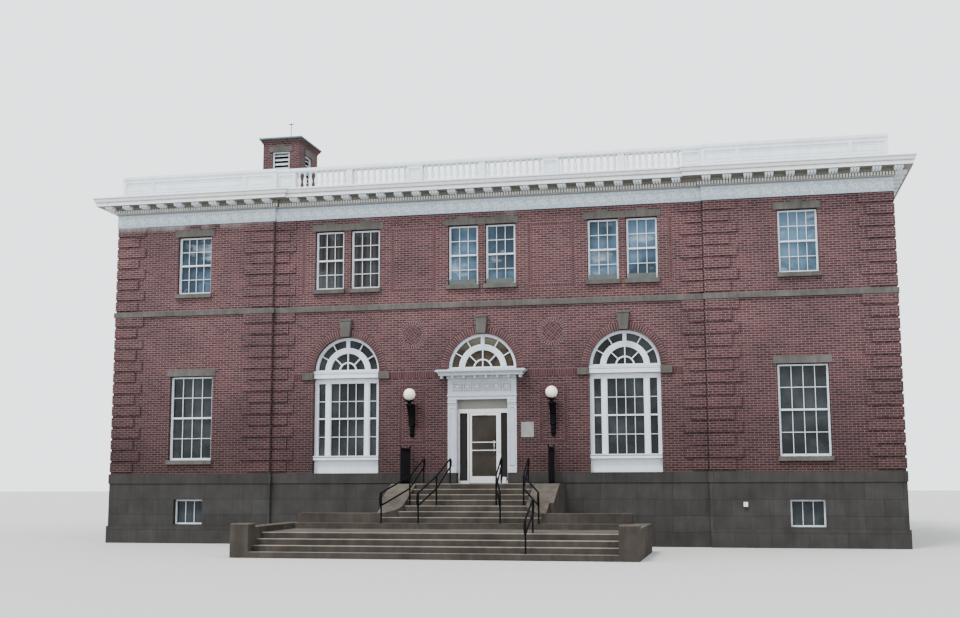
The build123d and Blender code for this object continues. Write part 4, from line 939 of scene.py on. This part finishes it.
# Mortar behind them
bm = bmesh.new()
backing = laid["backing"]
for axis in frontAxes:
    radii = (archRadius + laid["bedGap"], archRadius + laid["ring"] + laid["edge"])
    halfRing(bm, (axis, springZ), radii, skin, backing, laid["bedSteps"])
for u, z, upright in strips:
    wallBox(bm, "front", u, (skin, backing), z)
for side in (-1, 1):
    centre = (side * ornament["x"], ornament["z"])
    place = Matrix.Translation(onWall("front", centre[0], ornament["discOut"], centre[1]))
    bmesh.ops.create_cone(
        bm, cap_ends=True, segments=ornament["discSides"], radius1=ornament["radius"],
        radius2=ornament["radius"], depth=backing, matrix=place @ Matrix.Rotation(math.radians(90), 4, "X"),
    )
    # The bed of the ring covers the cut ends of the weave
    radii = (ornament["radius"] - ornament["rimBed"], ornament["radius"])
    for start in (0, math.pi):
        halfRing(bm, centre, radii, ornament["rimOut"], ornament["rimTall"], ornament["rimSteps"], start)
finishPiece("mortar_beds", bm, "mortar")
print("scene: laid bricks")


# Turned balusters stand where the plain ones do
balusters = {
    "group": 9, "endPedestal": 0.6, "pier": 0.1, "pedestalX": 2.15, "pedestal": 0.25, "sides": 14,
    "outline": (
        (0.0, 0.0), (0.056, 0.0), (0.056, 0.04), (0.036, 0.055), (0.044, 0.075), (0.030, 0.095),
        (0.046, 0.14), (0.060, 0.20), (0.055, 0.26), (0.036, 0.34), (0.026, 0.40), (0.040, 0.415),
        (0.028, 0.43), (0.034, 0.455), (0.054, 0.47), (0.054, 0.5094), (0.0, 0.5094),
    ),
}
low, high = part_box("balusters")
stops = [
    (-wingEdge + balusters["endPedestal"], -bays["pitch"] - balusters["pier"]),
    (-bays["pitch"] + balusters["pier"], -balusters["pedestalX"] - balusters["pedestal"]),
    (-balusters["pedestalX"] + balusters["pedestal"], -balusters["pier"]),
]
stops += [(-b, -a) for a, b in reversed(stops)]
bm = bmesh.new()
for start, end in stops:
    for i in range(balusters["group"]):
        x = start + (end - start) * (i + 0.5) / balusters["group"]
        spinProfile(bm, balusters["outline"], (x, (low.y + high.y) / 2, low.z), balusters["sides"])
finishPiece("turned_balusters", bm, "whiteTrim", replaced=("balusters",), smooth=True)

# Mouldings round the sunk panels of the parapet and the pedestals, by wall, axis and length
panelling = {
    "z": parapetLow + 0.435, "half": 0.165, "width": 0.032, "out": (-0.086, -0.070),
    "inset": 0.07, "margin": 0.10, "bead": 0.02, "beadOut": (-0.112, -0.098),
    "spots": (
        ("wing", 9.3645, 3.1), ("wing", 7.2545, 0.9), ("wing", 11.4745, 0.9),
        ("front", balusters["pedestalX"], 0.36), ("front", 6.3995, 0.457),
    ),
}
bm = bmesh.new()
for wall, axis, long in panelling["spots"]:
    z = around(panelling["z"], panelling["half"] + panelling["width"])
    for middle in (-axis, axis):
        outer = around(middle, long / 2 + panelling["width"])
        wallFrame(bm, wall, outer, panelling["out"], z, panelling["width"])
        inner = around(middle, long / 2 - panelling["inset"])
        margin = panelling["margin"]
        inside = (z[0] + margin, z[1] - margin)
        wallFrame(bm, wall, inner, panelling["beadOut"], inside, panelling["bead"])
finishPiece("parapet_mouldings", bm, "whiteTrim")
print("scene: parapet")


# Modillions with a scrolled side and three rounded lobes below
modillion = {
    "pitch": 0.565, "width": 0.25, "length": 0.30, "out": 0.1603, "high": corniceLow + 0.6497,
    "cap": 0.022, "between": 0.024, "low": corniceLow + 0.565,
    "lobe": (
        (0.0, 0.0), (0.10, 0.0), (0.20, 0.012), (0.265, 0.004), (0.288, 0.020), (0.288, 0.0627),
        (0.0, 0.0627),
    ),
}


def rowPlaces(start, end, pitch):
    count = int((end - start) // pitch)
    step = (end - start) / count
    return [start + step * (i + 0.5) for i in range(count)]


def addModillion(bm, wall, u):
    near, top = modillion["out"], modillion["high"]
    out = (near, near + modillion["length"])
    wallBox(bm, wall, around(u, modillion["width"] / 2), out, (top - modillion["cap"], top))
    lobe = modillion["width"] / 3 - modillion["between"]
    for k in (-1, 0, 1):
        left = u + k * (lobe + modillion["between"]) - lobe / 2
        points = [onWall(wall, left, near + out, modillion["low"] + z) for out, z in modillion["lobe"]]
        extrudeOutline(bm, points, walls[wall][1] * lobe)


wingFrom = wingEdge - modillion["out"]
innerReach = wingFrom - modillion["length"]
cornerReach = halfWidth + modillion["out"] + modillion["length"] + fit
bm = bmesh.new()
for wall, start, end in (
    ("wing", -cornerReach, -wingFrom), ("wing", wingFrom, cornerReach), ("front", -innerReach, innerReach),
    ("back", -cornerReach, cornerReach), ("right", wingY, backY), ("left", -backY, -wingY),
):
    for u in rowPlaces(start, end, modillion["pitch"]):
        addModillion(bm, wall, u)
finishPiece("scrolled_modillions", bm, "whiteTrim", replaced=("modillions",))

# Fine dentils all round, at the spacing that the photo shows
dentil = {"pitch": 0.084, "width": 0.046, "out": (0.1003, 0.155), "z": (0.46, 0.555)}
bm = bmesh.new()
reach = dentil["out"][1]
for wall, start, end in (
    ("wing", -halfWidth - reach, -wingEdge + reach), ("wing", wingEdge - reach, halfWidth + reach),
    ("front", -wingEdge + reach, wingEdge - reach), ("back", -halfWidth - reach, halfWidth + reach),
    ("left", -backY, -wingY), ("right", wingY, backY),
):
    for u in rowPlaces(start, end, dentil["pitch"]):
        wallBox(bm, wall, around(u, dentil["width"] / 2), dentil["out"], span(corniceLow, dentil["z"]))
finishPiece("fine_dentils", bm, "shadedPaint", replaced=("dentils",))
print("scene: eaves")


# Entrance: small raised panels on the frieze, bases, panels and caps on the pilasters
surround = {
    "friezeZ": (sillZ + 2.795, sillZ + 3.010), "friezeHalf": 0.90, "panels": 6, "gap": 0.030,
    "frameOut": (-0.005, 0.035), "frame": 0.026, "field": 0.055, "fieldOut": (-0.005, 0.023),
    "pilaster": (0.785, archRadius - fit), "foot": wallZ, "head": sillZ + 2.520, "face": 0.020,
    "sunkInset": 0.05, "sunkOut": (0.0, 0.018), "sunkFoot": 0.22, "sunkHead": 0.24, "sunk": 0.022,
}
# Bands of a pilaster: from foot or head, wider by, out from its face, and height
pilasterBands = (
    ("foot", 0.0002, (0.0, 0.026), (0.0, 0.11)), ("foot", 0.0, (0.0, 0.014), (0.11, 0.14)),
    ("head", 0.0, (0.0, 0.016), (-0.165, -0.145)), ("head", 0.0, (0.025, 0.034), (-0.030, 0.0)),
    ("head", 0.0, (0.025, 0.030), (-0.110, -0.090)),
)
bm = bmesh.new()
step = 2 * surround["friezeHalf"] / surround["panels"]
for i in range(surround["panels"]):
    left = -surround["friezeHalf"] + step * i
    u, z = (left + surround["gap"], left + step - surround["gap"]), surround["friezeZ"]
    wallFrame(bm, "front", u, surround["frameOut"], z, surround["frame"])
    field = surround["field"]
    inside = [(ends[0] + field, ends[1] - field) for ends in (u, z)]
    wallBox(bm, "front", inside[0], surround["fieldOut"], inside[1])
face = surround["face"]
for side in (-1, 1):
    u = sorted(side * edge for edge in surround["pilaster"])
    for end, wider, out, z in pilasterBands:
        wallBox(bm, "front", (u[0] - wider, u[1] + wider), span(face, out), span(surround[end], z))
    sunkU = (u[0] + surround["sunkInset"], u[1] - surround["sunkInset"])
    sunkZ = (surround["foot"] + surround["sunkFoot"], surround["head"] - surround["sunkHead"])
    wallFrame(bm, "front", sunkU, span(face, surround["sunkOut"]), sunkZ, surround["sunk"])
finishPiece("surround_mouldings", bm, "doorWood")

# Rounded lips on the crown of each keystone
keys = {"half": 0.199, "top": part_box("arch_stones")[1].z, "tall": 0.055, "out": 0.158, "round": 0.012}
bm = bmesh.new()
for centre in frontAxes:
    z = (keys["top"] - keys["tall"], keys["top"])
    made = wallBox(bm, "front", around(centre, keys["half"]), (skin, keys["out"]), z)
    roundEdges(bm, list({edge for vert in made for edge in vert.link_edges}), keys["round"])
finishPiece("keystone_lips", bm, "stone")

# A bare plate beside the door, and small fittings round it
plate = {"u": (1.197, 1.575), "z": (1.365, 1.816), "border": 0.022, "face": 0.014, "rim": 0.020}
bm = bmesh.new()
z = span(sillZ, plate["z"])
wallBox(bm, "front", plate["u"], (skin, plate["face"]), z)
wallFrame(bm, "front", plate["u"], (plate["face"], plate["rim"]), z, plate["border"])
finishPiece("bare_plate", bm, "plaque")

storefront = -0.200  # face of the door's frame, behind the front wall
whiteBoxes = (
    ("front", (0.585, 0.700), span(storefront, (0, 0.045)), (0.0125, 0.190)),
    ("wing", (7.62, 7.74), (0.0205, 0.085), (-0.67, -0.54)),
)
bm = bmesh.new()
for wall, u, out, z in whiteBoxes:
    wallBox(bm, wall, u, out, span(sillZ, z))
finishPiece("white_boxes", bm, "white")

button = {"x": 0.505, "z": 0.985, "rings": ((0.010, 0.040), (0.020, 0.026)), "deep": 0.012, "taper": 0.9}
bm = bmesh.new()
turn = Matrix.Rotation(math.radians(90), 4, "X")
for out, radius in button["rings"]:
    spot = Matrix.Translation(onWall("front", button["x"], storefront + out, sillZ + button["z"]))
    bmesh.ops.create_cone(
        bm, cap_ends=True, segments=24, radius1=radius, radius2=radius * button["taper"],
        depth=button["deep"], matrix=spot @ turn,
    )
finishPiece("door_button", bm, "aluminium")

# An upright pull, a closer along the top rail and a cylinder lock on the door
leaf = {
    "pullX": 0.335, "pull": (0.94, 1.27), "pullOut": 0.045, "pullRadius": 0.011, "top": 2.122,
    "closer": ((-0.20, 0.10), (skin, 0.040), (2.050, 2.110)),
    "lock": ((0.41, 0.46), (skin, 0.014), (0.99, 1.12)),
}
pullPlaces = zip((skin, leaf["pullOut"], leaf["pullOut"], skin), sorted(leaf["pull"] * 2))
pull = [onWall("front", leaf["pullX"], storefront + out, sillZ + z) for out, z in pullPlaces]
bm = pipeMesh("door_pull", [(pull, False)], leaf["pullRadius"])
for u, out, z in (leaf["closer"], leaf["lock"]):
    wallBox(bm, "front", u, span(storefront, out), span(sillZ, z))
finishPiece("door_hardware", bm, "aluminium", body="door")

# A plain panel with a moulding at its foot closes the height over the door frame
overDoor = {"rise": 0.115, "drop": 0.003, "inset": 0.004, "face": 0.008, "moulding": (0.014, 0.018)}
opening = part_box("storefront_frame")[1]
low, high = sillZ + leaf["top"] + overDoor["rise"], opening.z - overDoor["drop"]
u = around(0, opening.x - overDoor["inset"])
proud, tall = overDoor["moulding"]
bm = bmesh.new()
wallBox(bm, "front", u, span(storefront, (skin, overDoor["face"])), (low, high))
wallBox(bm, "front", u, span(storefront, (overDoor["face"], proud)), (low, low + tall))
finishPiece("panel_over_door", bm, "beige")
print("scene: entrance")


# Lamps: a round opal globe in a collar, over a cast bracket that tapers down the wall
lamp = {
    "x": 2.17, "z": sillZ + 2.677, "radius": 0.179, "out": 0.34, "shelf": 0.33, "tail": 0.96, "lift": 0.040,
    "collar": (
        (0.0, 0.0), (0.072, 0.0), (0.072, 0.018), (0.050, 0.030), (0.044, 0.045), (0.060, 0.058),
        (0.110, 0.070), (0.148, 0.078), (0.148, 0.094), (0.120, 0.098), (0.085, 0.112), (0.0, 0.112),
    ),
    "bodyHalf": 0.085, "waistHalf": 0.065, "tipHalf": 0.036, "bodyLow": 0.62, "swellLow": 0.56,
    "swellOut": (0.12, 0.24), "swellPower": 2.2, "swellSteps": 8,
    "shelfBands": ((0.094, 0.0, 0.022), (0.084, -0.016, 0.0), (0.088, 0.022, 0.040)),
    "scrolls": ((0.118, -0.74, -0.64, 0.045), (0.098, -0.86, -0.78, 0.038)), "scrollBack": 0.06,
    "bosses": ((0.098, -0.60, 0.055), (0.040, -0.93, 0.034)),
}
bm = bmesh.new()
for side in (-1, 1):
    place = Matrix.Translation((side * lamp["x"], frontY - lamp["out"], lamp["z"]))
    bmesh.ops.create_uvsphere(bm, u_segments=40, v_segments=24, radius=lamp["radius"], matrix=place)
finishPiece("opal_globes", bm, "opal", replaced=("lamp_globes",), smooth=True)

bm = bmesh.new()
shelfZ = lamp["z"] - lamp["shelf"]
tail, bodyLow = lamp["tail"], lamp["bodyLow"]
steps = lamp["swellSteps"]
swell = [
    (lamp["swellOut"][0] + lamp["swellOut"][1] * (i / steps) ** lamp["swellPower"],
     lamp["swellLow"] * (1 - i / steps))
    for i in range(steps + 1)
]
# Outlines of the casting from the shelf to its tip, by how far out and how far down they run
castings = (
    (lamp["bodyHalf"], [(fit, 0.0), (fit, bodyLow), (0.090, bodyLow)] + swell),
    (lamp["waistHalf"], [(fit, 0.60), (fit, tail - 0.05), (0.055, tail - 0.08), (0.085, 0.60)]),
    (lamp["tipHalf"], [(fit, tail - 0.06), (fit, tail), (0.030, tail), (0.050, tail - 0.06)]),
)
for side in (-1, 1):
    x = side * lamp["x"]
    for half, outline in castings:
        points = [onWall("front", x - half, out, shelfZ - down) for out, down in outline]
        extrudeOutline(bm, points, Vector((2 * half, 0, 0)))
    for half, low, high in lamp["shelfBands"]:
        wallBox(bm, "front", around(x, half), (fit, lamp["out"] + half), span(shelfZ, (low, high)))
    spinProfile(bm, lamp["collar"], (x, frontY - lamp["out"], shelfZ + lamp["lift"]), 32)
    # Raised scrolls and bosses on the face of the casting
    for out, low, high, half in lamp["scrolls"]:
        wallBox(bm, "front", around(x, half), (lamp["scrollBack"], out), span(shelfZ, (low, high)))
    for out, z, radius in lamp["bosses"]:
        place = Matrix.Translation(onWall("front", x, out, shelfZ + z))
        bmesh.ops.create_uvsphere(bm, u_segments=20, v_segments=12, radius=radius, matrix=place)
finishPiece("cast_brackets", bm, "iron", replaced=("lamp_brackets",), smooth=True)
print("scene: lamps")


# Handrails of round pipe, with hoops where a run ends
stair = {"riser": 0.152, "tread": 0.305, "landing": 1.130, "wide": 2.370}
rails = {
    "pipe": 0.021, "round": 0.0235, "rise": 0.85, "landingRise": 0.74, "middle": 0.48, "sides": 16,
    "landingBack": 0.18, "runs": ((0.76, 0.86, 1.15), (1.56, 1.64, 2.21)), "lowerRun": (2.390, 2.420),
    "lowerBack": 0.5, "lowerTreads": 2.5, "hoop": 0.13, "hoopStart": 0.05, "seat": 0.001,
    "flange": ((0.0, 0.0005), (0.055, 0.0005), (0.055, 0.006), (0.030, 0.012), (0.0, 0.012)),
}


def nosing(k):
    return frontY - stair["landing"] - stair["tread"] * k


def stepZ(k):
    return sillZ - stair["riser"] * k


# A post is x, y, the height of its foot and its rise
lowerTop = nosing(7) - stair["wide"]
onTread = stair["tread"] / 2
places = (
    (nosing(0) + rails["landingBack"], stepZ(0), rails["landingRise"]),
    (nosing(4) + onTread, stepZ(4), rails["rise"]),
    (nosing(7) + onTread, stepZ(7), rails["rise"]),
)
lines = [
    [(side * x, *place) for x, place in zip(runX, places)] for side in (-1, 1) for runX in rails["runs"]
]
lines.append([
    (rails["lowerRun"][0], lowerTop + rails["lowerBack"], stepZ(8), rails["rise"]),
    (rails["lowerRun"][1], lowerTop - rails["lowerTreads"] * stair["tread"], stepZ(11), rails["rise"]),
])
runs = []
for posts in lines:
    top = [Vector((x, y, foot + rise - rails["pipe"])) for x, y, foot, rise in posts]
    middle = [Vector((x, y, foot + rails["middle"])) for x, y, foot, rise in posts]
    for head, (x, y, foot, rise) in zip(top, posts):
        runs.append(([Vector((x, y, foot + rails["seat"])), head], False))
    runs += [(top, False), (middle, False)]
    # Hoops join the two rails beyond the last posts
    for a, b, way in ((top[0], middle[0], 1), (top[-1], middle[-1], -1)):
        far = Vector((0, rails["hoop"] * way, 0))
        near = Vector((0, rails["hoopStart"] * way, 0))
        runs.append(([a, a + near, (a + b) / 2 + far, b + near, b], True))
bm = pipeMesh("round_handrails", runs, rails["round"])
for posts in lines:
    for x, y, foot, rise in posts:
        spinProfile(bm, rails["flange"], (x, y, foot), rails["sides"])
finishPiece("round_handrails", bm, "iron", replaced=("handrails",), smooth=True)

# Finials on the end bars of the guards
guard = {
    "x": 2.2, "thick": 0.024, "ends": (0.02, 1.03), "height": 1.05, "fromWall": 0.0803,
    "finial": (
        (0.0, 0.0), (0.020, 0.0), (0.020, 0.012), (0.010, 0.020), (0.030, 0.050), (0.022, 0.072),
        (0.0, 0.082),
    ),
}
bm = bmesh.new()
for side in (-1, 1):
    for end in guard["ends"]:
        x, y = side * guard["x"] - guard["thick"] / 2, frontY - guard["fromWall"] - end
        spinProfile(bm, guard["finial"], (x, y, sillZ + guard["height"]), rails["sides"])
finishPiece("guard_finials", bm, "iron", smooth=True)
print("scene: rails")


# Pale nosings along the edges of the steps, their paleness a painted highlight, by step and half width
edging = {
    "deep": 0.045, "tall": 0.020, "proud": 0.002, "round": 0.006, "half": 1.748, "flared": (1.848, 2.248),
    "wideHalf": 4.698, "front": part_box("lower_steps")[0].y + 0.0004,
}
edgedSteps = [(k, edging["half"], 0) for k in range(5)]
edgedSteps += [(k, half, 0) for k, half in zip((5, 6), edging["flared"])]
edgedSteps += [(k, edging["wideHalf"], lowerTop - nosing(8)) for k in range(8, 12)]
bm = bmesh.new()
for k, half, forward in edgedSteps:
    y, z = nosing(k) + forward, stepZ(k)
    low = (-half, max(y - edging["proud"], edging["front"]), z - edging["tall"])
    made = addBox(bm, low, (half, y + edging["deep"], z + edging["proud"]))
    edges = {edge for vert in made for edge in vert.link_edges}
    roundEdges(bm, [e for e in edges if abs(e.verts[0].co.x - e.verts[1].co.x) > half], edging["round"])
finishPiece("nosing_highlights", bm, "nosing")
print("scene: steps")


# Floor, light and camera
floorMaterial = startMaterial("pale_floor")[0]
plug(shaderOf(floorMaterial), {"Base Color": (0.40, 0.40, 0.39, 1), "Roughness": 0.9})
bm = bmesh.new()
bmesh.ops.create_grid(bm, x_segments=1, y_segments=1, size=140)
mesh = bpy.data.meshes.new("floor")
bm.to_mesh(mesh)
bm.free()
mesh.materials.append(floorMaterial)
floor = bpy.data.objects.new("floor", mesh)
bpy.context.scene.collection.objects.link(floor)

sky = {"color": (0.94, 0.97, 1.0, 1), "strength": 2.6}
world = bpy.data.worlds.new("soft_sky")
bpy.context.scene.world = world
world.use_nodes = True
background = world.node_tree.nodes["Background"]
plug(background, {"Color": sky["color"], "Strength": sky["strength"]})

daylight = {"strength": 3.6, "spread": 14, "color": (1.0, 0.97, 0.93), "turn": (32, 0, -28)}
sun = bpy.data.lights.new("soft_sun", "SUN")
sun.energy = daylight["strength"]
sun.angle = math.radians(daylight["spread"])
sun.color = daylight["color"]
sunCarrier = bpy.data.objects.new("soft_sun", sun)
sunCarrier.rotation_euler = [math.radians(turn) for turn in daylight["turn"]]
bpy.context.scene.collection.objects.link(sunCarrier)

view = {"place": (7.7155, -44.6746, 1.9985), "yaw": -12.0209, "pitch": 7.7655, "roll": 0.1998, "lens": 46.355}
cameraData = bpy.data.cameras.new("street_view")
cameraData.sensor_width = 36
cameraData.lens = view["lens"]
cameraData.clip_end = 500
camera = bpy.data.objects.new("street_view", cameraData)
bpy.context.scene.collection.objects.link(camera)
heading = Matrix.Rotation(math.radians(-view["yaw"]), 4, "Z")
tilt = Matrix.Rotation(math.radians(90 + view["pitch"]), 4, "X")
bank = Matrix.Rotation(math.radians(-view["roll"]), 4, "Z")
aim = heading @ tilt
camera.matrix_world = Matrix.Translation(view["place"]) @ aim @ bank
bpy.context.scene.camera = camera

print("scene: done")
